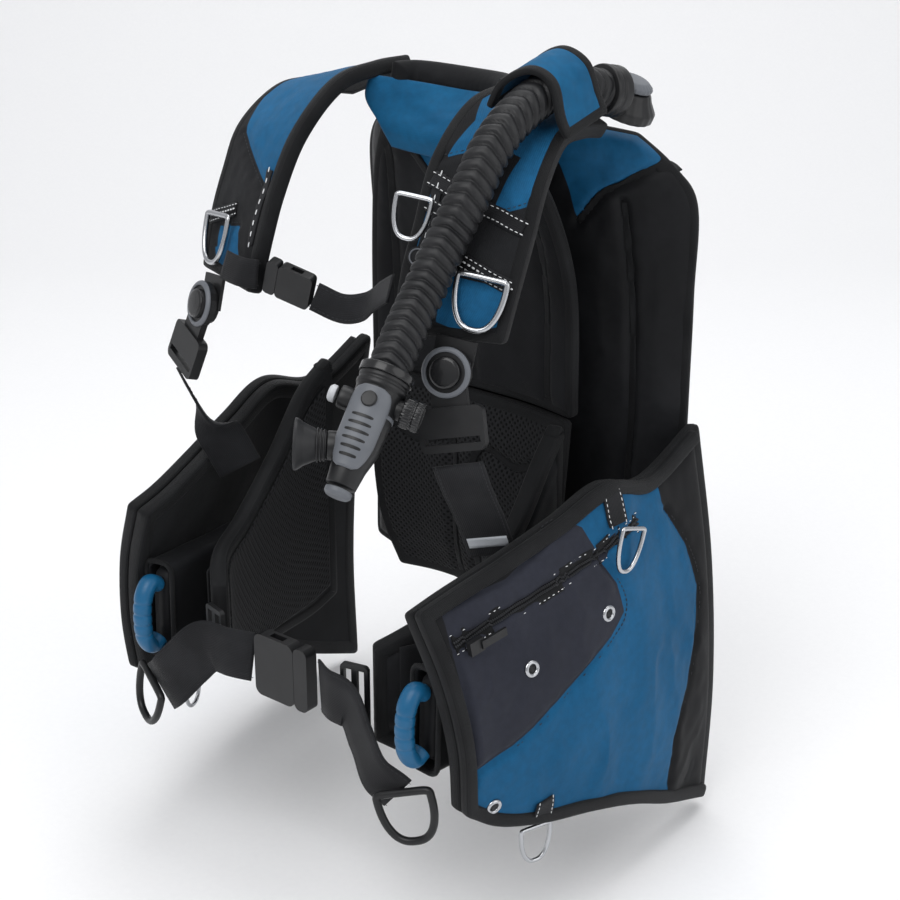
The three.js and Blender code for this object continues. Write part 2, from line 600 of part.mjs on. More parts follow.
function swivelBase() {
  const radius = SWIVEL_RADIUS * 0.8;
  const cap = turned([[0, 0], [radius, 0], [radius, SWIVEL_BASE], [0, SWIVEL_BASE]], 20)
    .translate(0, 0, -SWIVEL_BASE - GAP);
  const stem = new THREE.BoxGeometry(34, 30, 3).translate(0, 12, -SWIVEL_BASE - GAP + 0.5);
  return place(combine(cap, stem, 'add'), SWIVEL_CENTRE, SWIVEL_AXIS, strapUp);
}

function swivelBody() {
  const face = 7;
  const disc = turned([[0, 0], [SWIVEL_RADIUS, 0], [SWIVEL_RADIUS, face - 2], [SWIVEL_RADIUS - 3, face],
    [SWIVEL_RADIUS * 0.65, face], [SWIVEL_RADIUS * 0.6, face + 3], [0, face + 4]], 20);
  const neck = new THREE.BoxGeometry(30, 26, face - 1).translate(0, -24, (face - 1) / 2);
  const frame = roundedPlate(WEBBING_WIDTH + 4, 36, face + 2, 6, [[0, -9, WEBBING_WIDTH - 4, 5]])
    .translate(0, -45, -1);
  const body = combine(combine(disc, neck, 'add'), frame, 'add');
  return place(body, SWIVEL_CENTRE, SWIVEL_AXIS, SWIVEL_DOWN.clone().negate());
}
addPair('swivel_base', swivelBase(), PLASTIC_BLACK);
addPair('swivel_buckle', swivelBody(), PLASTIC_BLACK);

const SHOULDER_WEBBING = [
  v(STRAP_SPACING + 51, -313, 68), v(STRAP_SPACING + 50, -300, 42),
  v(TORSO_HALF_WIDTH - 32, -276, 4), v(TORSO_HALF_WIDTH - 35, -256, -34),
];
addPair('shoulder_webbing',
  strap(SHOULDER_WEBBING, v(0.86, 0.5, 0.1), WEBBING_WIDTH - 8, WEBBING_THICKNESS, 8), WEBBING);

// ---- Chest strap -----------------------------------------------------------------------------
const STRAP_INNER = STRAP_SPACING + 17 - STRAP_WIDTH / 2;        // inner edge of a strap at the chest
const CHEST_BUCKLE = v(23 - STRAP_INNER, -283, 170);
const CHEST_ALONG = v(0.9, 0.3, -0.3).normalize();
const CHEST_FACE = v(0.25, -0.95, -0.2);
const chestUp = CHEST_FACE.clone().cross(CHEST_ALONG).negate().normalize();

const [chestSocket, chestProngs] = sideRelease(CHEST_WEBBING_WIDTH + 7, 32, 10).map((half) =>
  place(half.translate(-6, 0, -5), CHEST_BUCKLE, CHEST_FACE, chestUp));
add('chest_buckle_socket', chestSocket, PLASTIC_BLACK);
add('chest_buckle_prongs', chestProngs, PLASTIC_BLACK);

const CHEST_LINE_LEFT = [
  v(CHEST_BUCKLE.x + 24, -278, 162), v(-4, -270, 154), v(20, -270, 160), v(46, -279, 178),
  v(STRAP_INNER - 4, -292, 192),
];
const CHEST_LINE_RIGHT = [
  v(CHEST_BUCKLE.x - 22, -298, 177), v(CHEST_BUCKLE.x - 33, -304, 178),
  v(CHEST_BUCKLE.x - 47, -302, 178), v(CHEST_BUCKLE.x - 63, -297, 178),
];
const chestStrap = (line, steps) =>
  strap(line, v(0.2, 0.3, 0.93), CHEST_WEBBING_WIDTH, WEBBING_THICKNESS, steps);
add('chest_webbing_left', chestStrap(CHEST_LINE_LEFT, 10), WEBBING);
add('chest_webbing_right', chestStrap(CHEST_LINE_RIGHT, 4), WEBBING);

// ---- Pocket and lobe fittings -------------------------------------------------------------------
addPair('pocket_d_ring', place(dRing(SMALL_RING_WIDTH, 38, SMALL_RING_WIRE),
  v(sideAt(0.1) + 41.8, -168, -18), v(1, -0.1, 0), v(0, 0.3, 0.95)), STAINLESS);
addPair('hip_d_ring', place(dRing(SMALL_RING_WIDTH, 34, SMALL_RING_WIRE),
  v(HIP_HALF_WIDTH - 24, -274, -266), v(0.9, -0.3, 0), v(0, 0, 1)), STAINLESS);

// The zip runs across the upper part of the pocket.
const ZIP_START = v(sideAt(0.25) - 3.5, -338, -70);
const ZIP_END = v(sideAt(0.25) + 25, -199, -46);
const ZIP_NORMAL = v(0.975, -0.2, 0.05);
function zipSlider() {
  const body = new THREE.BoxGeometry(14, 12, 5).translate(0, 0, 3);
  const puller = new THREE.BoxGeometry(26, 7, 2.4).translate(17, 0, 6);
  const along = ZIP_END.clone().sub(ZIP_START);
  return place(combine(body, puller, 'add'), ZIP_START, ZIP_NORMAL, ZIP_NORMAL.clone().cross(along));
}
addPair('zip_slider', zipSlider(), PLASTIC_BLACK);

// ---- Inflator ---------------------------------------------------------------------------------------
/** The hose's middle line, from the shoulder elbow over the strap and down the chest. */
const HOSE_ROUTE = [
  v(138, -104, 330), v(135, -127, 335), v(134, -152, 339), v(134, -177, 338), v(134, -202, 331),
  v(133, -227, 318), v(131, -246, 300), v(130, -258, 283), v(127, -269, 265), v(122, -278, 246),
  v(118, -291, 224), v(115, -304, 202), v(115, -320, 184), v(117, -338, 165), v(119, -356, 145),
];
const HOSE_CURVE = new THREE.CatmullRomCurve3(HOSE_ROUTE, false, 'centripetal');
const HOSE_END = HOSE_CURVE.getPointAt(1);
const HOSE_STEPS = 18;

function hose() {
  const inset = GAP / HOSE_CURVE.getLength();
  const line = Array.from({ length: HOSE_STEPS + 1 }, (_, i) =>
    HOSE_CURVE.getPointAt(mix(inset, 1 - inset, i / HOSE_STEPS)));
  return tube(line, HOSE_DIAMETER, 10, HOSE_STEPS);
}
add('inflator_hose', hose(), RUBBER);

const DUMP_CENTRE = v(139, -66, 315);
const DUMP_AXIS = v(0.35, 0.1, 0.93).normalize();

/** The elbow and dump valve on top of the left shoulder. */
function shoulderElbow() {
  const collarLength = 20;
  const socket = turned([[0, 0], [21, 0], [21, collarLength], [0, collarLength]], 16);
  const throat = place(socket, HOSE_ROUTE[0], HOSE_CURVE.getTangentAt(0).negate(), UP);
  const dome = turned([[0, -12], [27, -12], [27, -4], [20, 6], [0, 12]], 18);
  const valve = place(dome, DUMP_CENTRE, DUMP_AXIS, v(0, 1, 0));
  return combine(valve, throat, 'add');
}
function dumpCap() {
  const cap = turned([[0, 0], [17, 0], [17, 5], [12, 8], [0, 8]], 18);
  return place(cap, DUMP_CENTRE.clone().addScaledVector(DUMP_AXIS, 12 + GAP), DUMP_AXIS, v(0, 1, 0));
}
add('shoulder_elbow', shoulderElbow(), PLASTIC_BLACK);
add('dump_cap', dumpCap(), PLASTIC_GREY);

/** The flap of fabric that holds the hose down on the shoulder. */
function hoseFlap() {
  const reach = HOSE_DIAMETER / 2 + CLEARANCE + 4;
  const over = [[1.3, -1.0], [1.12, -0.3], [0.78, 0.7], [0, 1.08], [-0.78, 0.7], [-1.15, -0.1]];
  const line = over.map(([side, rise], i) => v(134 + side * reach, -160 - 5 * i, 339 + rise * reach));
  return strap(line, v(0, -0.97, -0.22), 52, 4, 12);
}
add('hose_flap', hoseFlap(), NYLON_BLUE);

// The inflator's own frame: its Z runs up the hose and its X points at the mouthpiece.
const INFLATOR_UP = HOSE_CURVE.getTangentAt(1).negate();
const INFLATOR_SIDE = v(-0.76, -0.65, 0);
const inflatorY = INFLATOR_UP.clone().cross(INFLATOR_SIDE).normalize();
const inflatorX = inflatorY.clone().cross(INFLATOR_UP);
const INFLATOR_FRAME = new THREE.Matrix4().makeBasis(inflatorX, inflatorY, INFLATOR_UP).setPosition(HOSE_END);
const onInflator = (geometry) => geometry.applyMatrix4(INFLATOR_FRAME);
const BODY_RADIUS = 16;
const BODY_LENGTH = 92;
const MOUTH_HEIGHT = -62;
const BUTTON_HEIGHT = -26;
const BUTTON_TRAVEL = 2.6;           // gap under each button

function inflatorBody() {
  const top = HOSE_DIAMETER / 2 + 3;
  const profile = [
    [0, -BODY_LENGTH], [BODY_RADIUS - 4, -BODY_LENGTH], [BODY_RADIUS - 2, -76], [BODY_RADIUS + 2, -60],
    [BODY_RADIUS + 2, -34], [BODY_RADIUS + 3, -12], [top, -10], [top, 0], [0, 0],
  ];
  const barrel = turned(profile, 18).translate(0, 0, -GAP);
  const buttonBarrel = turned([[0, 0], [9, 0], [9, 14], [0, 14]], 14)
    .rotateY(Math.PI / 2).translate(14, 0, BUTTON_HEIGHT);
  const inlet = turned([[0, 0], [8, 0], [8, 16], [0, 16]], 14)
    .rotateY(-Math.PI / 2).translate(-14, 0, BUTTON_HEIGHT + 6);
  const neck = turned([[0, 0], [11, 0], [11, 12], [0, 12]], 14).rotateY(1.9).translate(10, 0, MOUTH_HEIGHT);
  return onInflator([buttonBarrel, inlet, neck].reduce((body, piece) => combine(body, piece, 'add'), barrel));
}

/** The mouthpiece: an oval bell with an open bore. */
function mouthpiece() {
  const bell = turned([[6, 0], [11, 0], [12, 8], [18, 20], [20, 24], [16, 24], [8, 10], [6, 6], [6, 0]], 18)
    .rotateY(1.9).translate(10, 0, MOUTH_HEIGHT);
  const start = v(Math.sin(1.9), 0, Math.cos(1.9)).multiplyScalar(12 + GAP);
  return onInflator(bell.translate(start.x, 0, start.z));
}

function inflateButton() {
  return onInflator(turned([[0, 0], [7, 0], [7, 4], [5, 6], [0, 6]], 14).rotateY(Math.PI / 2)
    .translate(28 + BUTTON_TRAVEL, 0, BUTTON_HEIGHT));
}

function deflateButton() {
  return onInflator(turned([[0, -6], [9, -6], [11, -4], [11, 0], [0, 0]], 16)
    .translate(0, 0, -BODY_LENGTH - GAP - BUTTON_TRAVEL));
}

/** The knurled sleeve that is pulled back to free the air hose. */
function quickConnect() {
  const sleeve = turned([[8.4, 0], [12, 0], [12, 16], [8.4, 16], [8.4, 0]], 16);
  return onInflator(sleeve.rotateY(-Math.PI / 2).translate(-HOSE_DIAMETER / 2 - 4.5, 0, BUTTON_HEIGHT + 6));
}

add('inflator_body', inflatorBody(), PLASTIC_BLACK);
add('mouthpiece', mouthpiece(), PLASTIC_GREY);
add('inflate_button', inflateButton(), PLASTIC_GREY);
add('deflate_button', deflateButton(), PLASTIC_BLACK);
add('quick_connect', quickConnect(), PLASTIC_BLACK);

export default vest;
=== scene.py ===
import math

import bpy
import numpy as np
from mathutils import Matrix, Vector


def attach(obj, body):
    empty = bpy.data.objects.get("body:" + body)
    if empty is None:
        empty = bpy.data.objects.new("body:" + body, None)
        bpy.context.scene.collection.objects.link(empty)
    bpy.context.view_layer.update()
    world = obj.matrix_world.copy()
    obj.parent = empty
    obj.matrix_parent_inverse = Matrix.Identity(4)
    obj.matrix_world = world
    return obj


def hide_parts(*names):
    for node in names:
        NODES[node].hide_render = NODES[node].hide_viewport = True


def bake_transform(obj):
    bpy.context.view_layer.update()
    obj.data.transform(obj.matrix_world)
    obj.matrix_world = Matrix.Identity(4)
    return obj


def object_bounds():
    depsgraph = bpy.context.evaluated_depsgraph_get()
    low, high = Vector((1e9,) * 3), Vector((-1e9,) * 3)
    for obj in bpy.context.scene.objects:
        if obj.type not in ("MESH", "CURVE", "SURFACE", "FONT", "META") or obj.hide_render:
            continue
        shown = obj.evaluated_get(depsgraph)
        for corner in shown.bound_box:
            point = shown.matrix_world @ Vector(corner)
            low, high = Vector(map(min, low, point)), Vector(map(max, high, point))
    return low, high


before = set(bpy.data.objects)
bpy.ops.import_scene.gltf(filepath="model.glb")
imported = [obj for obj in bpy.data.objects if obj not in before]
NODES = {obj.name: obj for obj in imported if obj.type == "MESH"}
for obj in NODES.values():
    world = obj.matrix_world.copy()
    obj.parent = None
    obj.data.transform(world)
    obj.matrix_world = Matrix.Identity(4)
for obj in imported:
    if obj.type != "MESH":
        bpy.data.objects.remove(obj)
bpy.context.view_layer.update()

MM = 0.001


def mm(*values):
    """Lengths given in millimetres, in metres."""
    return np.array(values, float) * MM


# ---- Camera, first ----
CAMERA_AZIMUTH = math.radians(39.0)
CAMERA_ELEVATION = math.radians(22.5)
CAMERA_AIM = Vector((0.0283, -0.165, 0.0))
CAMERA_DISTANCE = 1.7099
LENS = 76.0


def make_camera():
    back = Vector((
        math.sin(CAMERA_AZIMUTH) * math.cos(CAMERA_ELEVATION),
        -math.cos(CAMERA_AZIMUTH) * math.cos(CAMERA_ELEVATION),
        math.sin(CAMERA_ELEVATION),
    ))
    data = bpy.data.cameras.new("camera")
    data.lens = LENS
    data.sensor_width = 36.0
    camera = bpy.data.objects.new("camera", data)
    camera.location = CAMERA_AIM + CAMERA_DISTANCE * back
    camera.rotation_euler = back.to_track_quat("Z", "Y").to_euler()
    bpy.context.scene.collection.objects.link(camera)
    bpy.context.scene.camera = camera


make_camera()


# ---- Numbers and noise ----
def unit(a):
    a = np.asarray(a, float)
    return a / np.maximum(np.linalg.norm(a, axis=-1, keepdims=True), 1e-12)


def smooth(points, steps):
    """Points at even steps along the centripetal curve through the given ones, or through rows of them."""
    p = np.asarray(points, float)
    ends = np.concatenate([[2 * p[0] - p[1]], p, [2 * p[-1] - p[-2]]])
    out = []
    for t in np.linspace(0, len(p) - 1, steps + 1):
        i = min(int(t), len(p) - 2)
        w = t - i
        a, b, c, d = ends[i:i + 4]
        ab, bc, cd = (np.sqrt(np.maximum(np.linalg.norm(r - q, axis=-1, keepdims=True), 1e-9))
                      for q, r in ((a, b), (b, c), (c, d)))
        start = ((b - a) / ab - (c - a) / (ab + bc) + (c - b) / bc) * bc
        end = ((c - b) / bc - (d - b) / (bc + cd) + (d - c) / cd) * bc
        out.append(b + start * w + (3 * (c - b) - 2 * start - end) * w ** 2
                   + (2 * (b - c) + start + end) * w ** 3)
    return np.array(out)


def travelled(points):
    """How far along the line each of its points is."""
    return np.concatenate([[0], np.cumsum(np.linalg.norm(np.diff(points, axis=0), axis=1))])


def evenly(points, spacing):
    """The polyline through points, cut again at an even spacing."""
    p = np.asarray(points, float)
    run = travelled(p)
    at = np.linspace(0, run[-1], max(2, int(round(run[-1] / spacing)) + 1))
    return np.stack([np.interp(at, run, p[:, k]) for k in range(p.shape[1])], axis=1)


def curve(points, spacing):
    """A smooth curve through points, cut at an even spacing."""
    return evenly(smooth(points, 24 * (len(points) - 1)), spacing)


def lattice(cells, seed):
    """A repeatable random value from -1 to 1 for each whole-numbered cell."""
    x, y, z = (cells[..., k].astype(np.int64) for k in range(3))
    h = (x * 73856093) ^ (y * 19349663) ^ (z * 83492791) ^ (seed * 2654435761)
    h = (h ^ (h >> 13)) * 1274126177
    h = (h ^ (h >> 16)) & 0x7FFFFFFF
    return h / 0x3FFFFFFF - 1


def noise(points, size, seed=0, octaves=2):
    """Smooth noise from about -1 to 1 whose features are about size across."""
    total = 0
    weight = 1.0
    for octave in range(octaves):
        p = np.asarray(points, float) / size * 2 ** octave
        cell = np.floor(p)
        f = p - cell
        f = f * f * (3 - 2 * f)
        value = 0
        for corner in np.ndindex(2, 2, 2):
            share = np.prod(np.where(np.array(corner) == 1, f, 1 - f), axis=-1)
            value = value + share * lattice(cell + np.array(corner), seed + octave)
        total = total + weight * value
        weight *= 0.5
    return total


# ---- Materials ----
class Shade:
    """A material in the making: each method adds a node and gives its output."""

    def __init__(self, name):
        self.made = bpy.data.materials.new(name)
        self.made.use_nodes = True
        self.tree = self.made.node_tree
        self.place = self.node("TexCoord", "Object", {})

    def feed(self, socket, value):
        if isinstance(value, bpy.types.NodeSocket):
            self.tree.links.new(value, socket)
        elif socket.type == "RGBA":
            socket.default_value = (*value, 1.0)
        else:
            socket.default_value = value

    def node(self, kind, output, inputs, **settings):
        made = self.tree.nodes.new(f"ShaderNode{kind}")
        for key, value in settings.items():
            setattr(made, key, value)
        for key, value in inputs.items():
            self.feed(made.inputs[key], value)
        return made.outputs[output]

    def maths(self, operation, first, second):
        return self.node("Math", 0, {0: first, 1: second}, operation=operation)

    def mix(self, factor, first, second, blend="MIX"):
        return self.node("Mix", 2, {0: factor, 6: first, 7: second}, data_type="RGBA", blend_type=blend)

    def noise(self, scale, detail=3.0, at=None):
        return self.node("TexNoise", "Fac", {"Scale": scale, "Detail": detail, "Vector": at or self.place})

    def ramp(self, value, low, high):
        return self.node("MapRange", "Result", {"From Min": low, "From Max": high, "Value": value})

    def spread(self, value, low, high):
        return self.node("MapRange", "Result", {"To Min": low, "To Max": high, "Value": value})

    def bands(self, at, direction, pitch):
        scale = 2 * math.pi / (20 * pitch)
        return self.node("TexWave", "Fac", {"Scale": scale, "Distortion": 0.0, "Vector": at},
                         bands_direction=direction)

    def thread(self, degrees):
        """Thread directions in metres: the cut piece's own flat coordinates."""
        flat = self.node("UVMap", "UV", {}, uv_map="cut")
        return self.node("Mapping", "Vector", {"Rotation": (0, 0, math.radians(degrees)), "Vector": flat})

    def finish(self, inputs, *bumps):
        """Feeds the shader, with (height, distance in metres, strength) bumps stacked on its normal."""
        shader = self.tree.nodes["Principled BSDF"].inputs
        normal = {}
        for height, distance, strength in bumps:
            layer = {"Height": height, "Distance": distance, "Strength": strength, **normal}
            normal = {"Normal": self.node("Bump", "Normal", layer)}
        for key, value in {**inputs, **normal}.items():
            self.feed(shader[key], value)
        return self.made


def fabric(name, colour, light, pitch=1.1, roughness=0.75, sheen=0.06, depth=0.12, twill=False,
           blue=None, black=None, crease=0.35):
    """Woven cloth, in another colour where the piece's number blue or black is above 0."""
    made = Shade(name)
    thread = made.thread(45 if twill else 0)
    warp = made.bands(thread, "X", pitch * MM)
    weft = made.bands(thread, "Y", pitch * MM * (4 if twill else 1))
    if twill:
        weave = made.maths("MAXIMUM", warp, made.maths("MULTIPLY", weft, 0.3))
    else:
        weave = made.maths("MULTIPLY", warp, weft)
    patches = made.ramp(made.noise(9.0, 4.0), 0.35, 0.7)
    fine = made.noise(160.0)
    tone = made.mix(patches, colour, light)
    for attribute, tint in (("blue", blue), ("black", black)):
        if tint is None:
            continue
        zone = made.node("Attribute", "Fac", {}, attribute_name=attribute)
        other = made.mix(patches, tint, tuple(min(1, 1.25 * c + 0.004) for c in tint))
        tone = made.mix(made.ramp(zone, 0.0, 0.0004), tone, other)
    worn = made.maths("MULTIPLY", made.ramp(fine, 0.3, 0.8), 0.3)
    tone = made.mix(worn, tone, (1.9, 1.9, 1.9), "MULTIPLY")
    # Painted light: the weave's height also lightens the thread crowns as a painted highlight and darkens
    # the gaps between threads as painted shade.
    tone = made.mix(made.maths("MULTIPLY", weave, 0.35), tone, (1.5, 1.5, 1.5), "MULTIPLY")
    return made.finish(
        {"Base Color": tone, "Roughness": made.spread(fine, roughness - 0.1, roughness + 0.08),
         "Sheen Weight": sheen, "Sheen Roughness": 0.45, "Specular IOR Level": 0.12},
        (weave, depth * MM, 0.6), (fine, 0.4 * MM, crease), (made.noise(45.0, 2.0), 1.2 * MM, crease))


def air_mesh(name, colour, light, cell=4.5):
    """Spacer mesh: a grid of small round holes with a glossy knitted rim; the gloss is a painted sheen
    lightening the rim, and the holes are painted dark as shade.
    """
    made = Shade(name)
    holes = made.node("TexVoronoi", "Distance",
                      {"Scale": 1 / (cell * MM), "Randomness": 0.12, "Vector": made.thread(45)},
                      feature="F1")
    solid = made.ramp(holes, 0.22, 0.42)
    # Painted light: the holes' darker colour is painted shade, the rim's lighter colour a painted sheen.
    return made.finish(
        {"Base Color": made.mix(solid, colour, light), "Roughness": 0.8, "Sheen Weight": 0.05,
         "Specular IOR Level": 0.12},
        (solid, 0.8 * MM, 0.8), (made.noise(300.0), 0.3 * MM, 0.3))


def webbing_material(name, colour, light, rib=1.6):
    """Flat woven webbing: ribs along its length, with a finer weft."""
    made = Shade(name)
    thread = made.thread(0)
    weft = made.maths("ADD", 0.4, made.bands(thread, "X", 0.9 * MM))
    weave = made.maths("MULTIPLY", made.bands(thread, "Y", rib * MM), weft)
    tone = made.mix(made.ramp(made.noise(25.0), 0.35, 0.7), colour, light)
    # Painted light: the ribs' height also lightens the thread crowns as a painted highlight and darkens the
    # gaps between them as painted shade.
    tone = made.mix(made.maths("MULTIPLY", weave, 0.5), tone, (1.6, 1.6, 1.6), "MULTIPLY")
    return made.finish(
        {"Base Color": tone, "Roughness": 0.62, "Sheen Weight": 0.04, "Specular IOR Level": 0.15},
        (weave, 0.25 * MM, 0.7))


def plastic(name, colour, roughness=0.42, grain=0.25, coat=0.0):
    """Moulded plastic or rubber with a fine spark-eroded grain and handled patches."""
    made = Shade(name)
    broad = made.noise(35.0)
    light = tuple(min(1.0, c * 1.25 + 0.006) for c in colour)
    return made.finish(
        {"Base Color": made.mix(made.ramp(broad, 0.3, 0.75), colour, light),
         "Roughness": made.spread(broad, roughness - 0.08, roughness + 0.1),
         "Coat Weight": coat, "Specular IOR Level": 0.32},
        (made.noise(1800.0, 2.0), 0.15 * MM, grain))


def metal(name, colour=(0.5, 0.51, 0.53), roughness=0.14):
    """Polished stainless steel with faint drawing marks."""
    made = Shade(name)
    drawn = made.node("Mapping", "Vector", {"Scale": (1.0, 1.0, 12.0), "Vector": made.place})
    marks = made.noise(420.0, 3.0, drawn)
    return made.finish(
        {"Metallic": 1.0, "Base Color": made.mix(marks, colour, tuple(0.85 * c for c in colour)),
         "Roughness": made.spread(marks, roughness, roughness + 0.14)},
        (marks, 0.05 * MM, 0.2))


BLUE = (0.004, 0.062, 0.142)
BLUE_LIGHT = (0.007, 0.088, 0.19)
BLACK = (0.006, 0.0062, 0.007)
BLACK_LIGHT = (0.011, 0.0115, 0.013)
CHARCOAL = (0.016, 0.0175, 0.025)
CHARCOAL_LIGHT = (0.023, 0.025, 0.035)
WHITE = (0.62, 0.63, 0.64)

CLOTH_BLUE = fabric("cordura_blue", BLUE, BLUE_LIGHT, black=BLACK)
CLOTH_BLACK = fabric("nylon_black", BLACK, BLACK_LIGHT, blue=BLUE)
CLOTH_SMOOTH = fabric("coated_nylon", (0.006, 0.0062, 0.007), (0.011, 0.0115, 0.013), pitch=0.6,
                      roughness=0.5, sheen=0.04, depth=0.05, blue=BLUE, crease=0.25)
CLOTH_CHARCOAL = fabric("cordura_charcoal", CHARCOAL, CHARCOAL_LIGHT, blue=BLUE, black=BLACK)
TWILL = fabric("twill_black", BLACK, BLACK_LIGHT, pitch=1.5, twill=True, depth=0.25, blue=BLUE)
AIR_MESH = air_mesh("air_mesh", (0.002, 0.002, 0.0025), (0.017, 0.0175, 0.019))
BINDING = webbing_material("binding_tape", (0.005, 0.0052, 0.006), (0.009, 0.0095, 0.0105), rib=1.1)
WEBBING = webbing_material("webbing_black", (0.007, 0.0072, 0.0085), (0.014, 0.0145, 0.0165))
THREAD_WHITE = plastic("thread_white", WHITE, 0.7)
THREAD_DARK = plastic("thread_dark", (0.022, 0.023, 0.026), 0.7)
PLASTIC = plastic("plastic_black", (0.007, 0.0072, 0.008), 0.36, 0.3)
PLASTIC_GLOSS = plastic("plastic_gloss", (0.006, 0.0062, 0.007), 0.24, 0.1, coat=0.2)
PLASTIC_GREY = plastic("plastic_grey", (0.1, 0.107, 0.12), 0.4, 0.3)
PLASTIC_SILVER = plastic("plastic_silver", (0.42, 0.43, 0.45), 0.3, 0.1)
PLASTIC_BLUE = plastic("plastic_blue", (0.005, 0.085, 0.19), 0.34, 0.25)
RUBBER = plastic("rubber_black", (0.008, 0.0083, 0.0095), 0.45, 0.4)
STEEL = metal("stainless")
REFLECTIVE = plastic("reflective_tape", (0.42, 0.44, 0.47), 0.3, 0.1)


# ---- Mesh building ----
def link(name, mesh, material, body="vest"):
    """Adds a mesh as a piece that rides on a body; given two as (body, body, start, end), it rides on
    neither and stays in place.
    """
    made = bpy.data.objects.new(name, mesh)
    bpy.context.scene.collection.objects.link(made)
    mesh.materials.append(material)
    mesh.polygons.foreach_set("use_smooth", [True] * len(mesh.polygons))
    if isinstance(body, tuple):
        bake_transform(made)
    else:
        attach(made, body)
    return made


def stand_in(piece, node):
    """Hides the CAD node that a piece stands in for."""
    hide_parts(node)


def mesh_from(name, points, faces, cut=None, zones=None):
    """A mesh with its flat cut coordinates in metres, and named numbers on its points."""
    mesh = bpy.data.meshes.new(name)
    mesh.from_pydata(np.asarray(points, float).tolist(), [], [list(map(int, f)) for f in faces])
    layer = mesh.uv_layers.new(name="cut")
    if cut is not None:
        corners = np.empty(len(mesh.loops), int)
        mesh.loops.foreach_get("vertex_index", corners)
        layer.data.foreach_set("uv", np.asarray(cut, float)[corners].ravel())
    for zone, values in (zones or {}).items():
        mesh.attributes.new(zone, "FLOAT", "POINT").data.foreach_set(
            "value", np.asarray(values, float).ravel())
    mesh.update()
    return mesh


def outward(points, faces):
    """The faces of a closed mesh, turned round if they point in."""
    p = np.asarray(points, float)
    fans = np.array([(f[0], f[k], f[k + 1]) for f in faces for k in range(1, len(f) - 1)])
    volume = np.sum(p[fans[:, 0]] * np.cross(p[fans[:, 1]], p[fans[:, 2]]))
    return faces if volume > 0 else [tuple(reversed(f)) for f in faces]


def grid_faces(rows, columns, start=0, wrap=False):
    """The faces of a grid of points, or of an open tube where each row is a ring."""
    return [(start + i * columns + j, start + (i + 1) * columns + j,
             start + (i + 1) * columns + (j + 1) % columns, start + i * columns + (j + 1) % columns)
            for i in range(rows - 1) for j in range(columns if wrap else columns - 1)]


def tube_faces(rows, columns):
    """The faces of a tube that is shut at both ends."""
    last = (rows - 1) * columns
    ends = [tuple(range(columns)), tuple(range(last + columns - 1, last - 1, -1))]
    return grid_faces(rows, columns, wrap=True) + ends


def ring_faces(rows, columns):
    """The faces of a tube whose last ring joins its first."""
    last = (rows - 1) * columns
    return grid_faces(rows, columns, wrap=True) + [
        (last + j, j, (j + 1) % columns, last + (j + 1) % columns) for j in range(columns)]


class Skin:
    """A smooth sheet of points with normals, and a flat chart of two numbers for each point."""

    def __init__(self, grid, chart=None, flip=False):
        self.grid = grid
        du = np.gradient(grid, axis=0)
        dv = np.gradient(grid, axis=1)
        self.normal = unit(np.cross(du, dv)) * (-1 if flip else 1)
        along = np.concatenate([np.zeros((1, grid.shape[1])),
                                np.cumsum(np.linalg.norm(np.diff(grid, axis=0), axis=2), axis=0)])
        across = np.concatenate([np.zeros((grid.shape[0], 1)),
                                 np.cumsum(np.linalg.norm(np.diff(grid, axis=1), axis=2), axis=1)], axis=1)
        self.cut = np.stack([along, across - across[:, -1:] / 2], axis=2)
        self.chart = self.cut if chart is None else chart
        far_along = along[-1:] - along
        far_across = across[:, -1:] - across
        self.edge = np.minimum(np.minimum(along, far_along), np.minimum(across, far_across))

    def find(self, spot):
        """The point and normal of the sheet at a place on its chart."""
        gap = np.sum((self.chart - spot) ** 2, axis=2)
        i, j = np.unravel_index(np.argmin(gap), gap.shape)
        i = min(max(i, 1), self.grid.shape[0] - 2)
        j = min(max(j, 1), self.grid.shape[1] - 2)
        along = (self.chart[i + 1, j] - self.chart[i - 1, j]) / 2
        across = (self.chart[i, j + 1] - self.chart[i, j - 1]) / 2
        step = np.linalg.lstsq(np.stack([along, across], axis=1), np.asarray(spot) - self.chart[i, j],
                               rcond=None)[0]
        step = np.clip(step, -1.5, 1.5)
        point = self.grid[i, j] + step[0] * (self.grid[i + 1, j] - self.grid[i - 1, j]) / 2 \
            + step[1] * (self.grid[i, j + 1] - self.grid[i, j - 1]) / 2
        return point, self.normal[i, j]

    def trace(self, path, spacing=0.003, bend=True):
        """A path on the chart, as evenly spaced points and normals on the sheet."""
        flat = curve(path, spacing) if bend and len(path) > 2 else evenly(path, spacing)
        found = [self.find(spot) for spot in flat]
        points = np.array([p for p, _ in found])
        for _ in range(2):
            points[1:-1] = (points[:-2] + 2 * points[1:-1] + points[2:]) / 4
        return points, unit(np.array([n for _, n in found]))

    def raised(self, height):
        """The same sheet, lifted along its normals by a height for each point."""
        copy = Skin.__new__(Skin)
        copy.__dict__.update(self.__dict__)
        copy.grid = self.grid + self.normal * np.asarray(height)[..., None]
        du = np.gradient(copy.grid, axis=0)
        dv = np.gradient(copy.grid, axis=1)
        fresh = unit(np.cross(du, dv))
        copy.normal = fresh * np.sign(np.sum(fresh * self.normal, axis=2, keepdims=True))
        return copy


def inside(chart, outline):
    """How far each chart point lies inside a closed outline, in metres; outside counts as negative."""
    p = chart.reshape(-1, 2)
    best = np.full(len(p), 1e9)
    odd = np.zeros(len(p), bool)
    ring = np.asarray(outline, float)
    for a, b in zip(ring, np.roll(ring, -1, axis=0)):
        e = b - a
        w = p - a
        t = np.clip((w @ e) / max(e @ e, 1e-12), 0, 1)
        best = np.minimum(best, np.linalg.norm(w - t[:, None] * e, axis=1))
        crosses = (a[1] > p[:, 1]) != (b[1] > p[:, 1])
        slope = (p[:, 1] - a[1]) / np.where(abs(e[1]) < 1e-12, 1e-12, e[1])
        odd ^= crosses & (p[:, 0] < a[0] + slope * e[0])
    return np.where(odd, best, -best).reshape(chart.shape[:2])


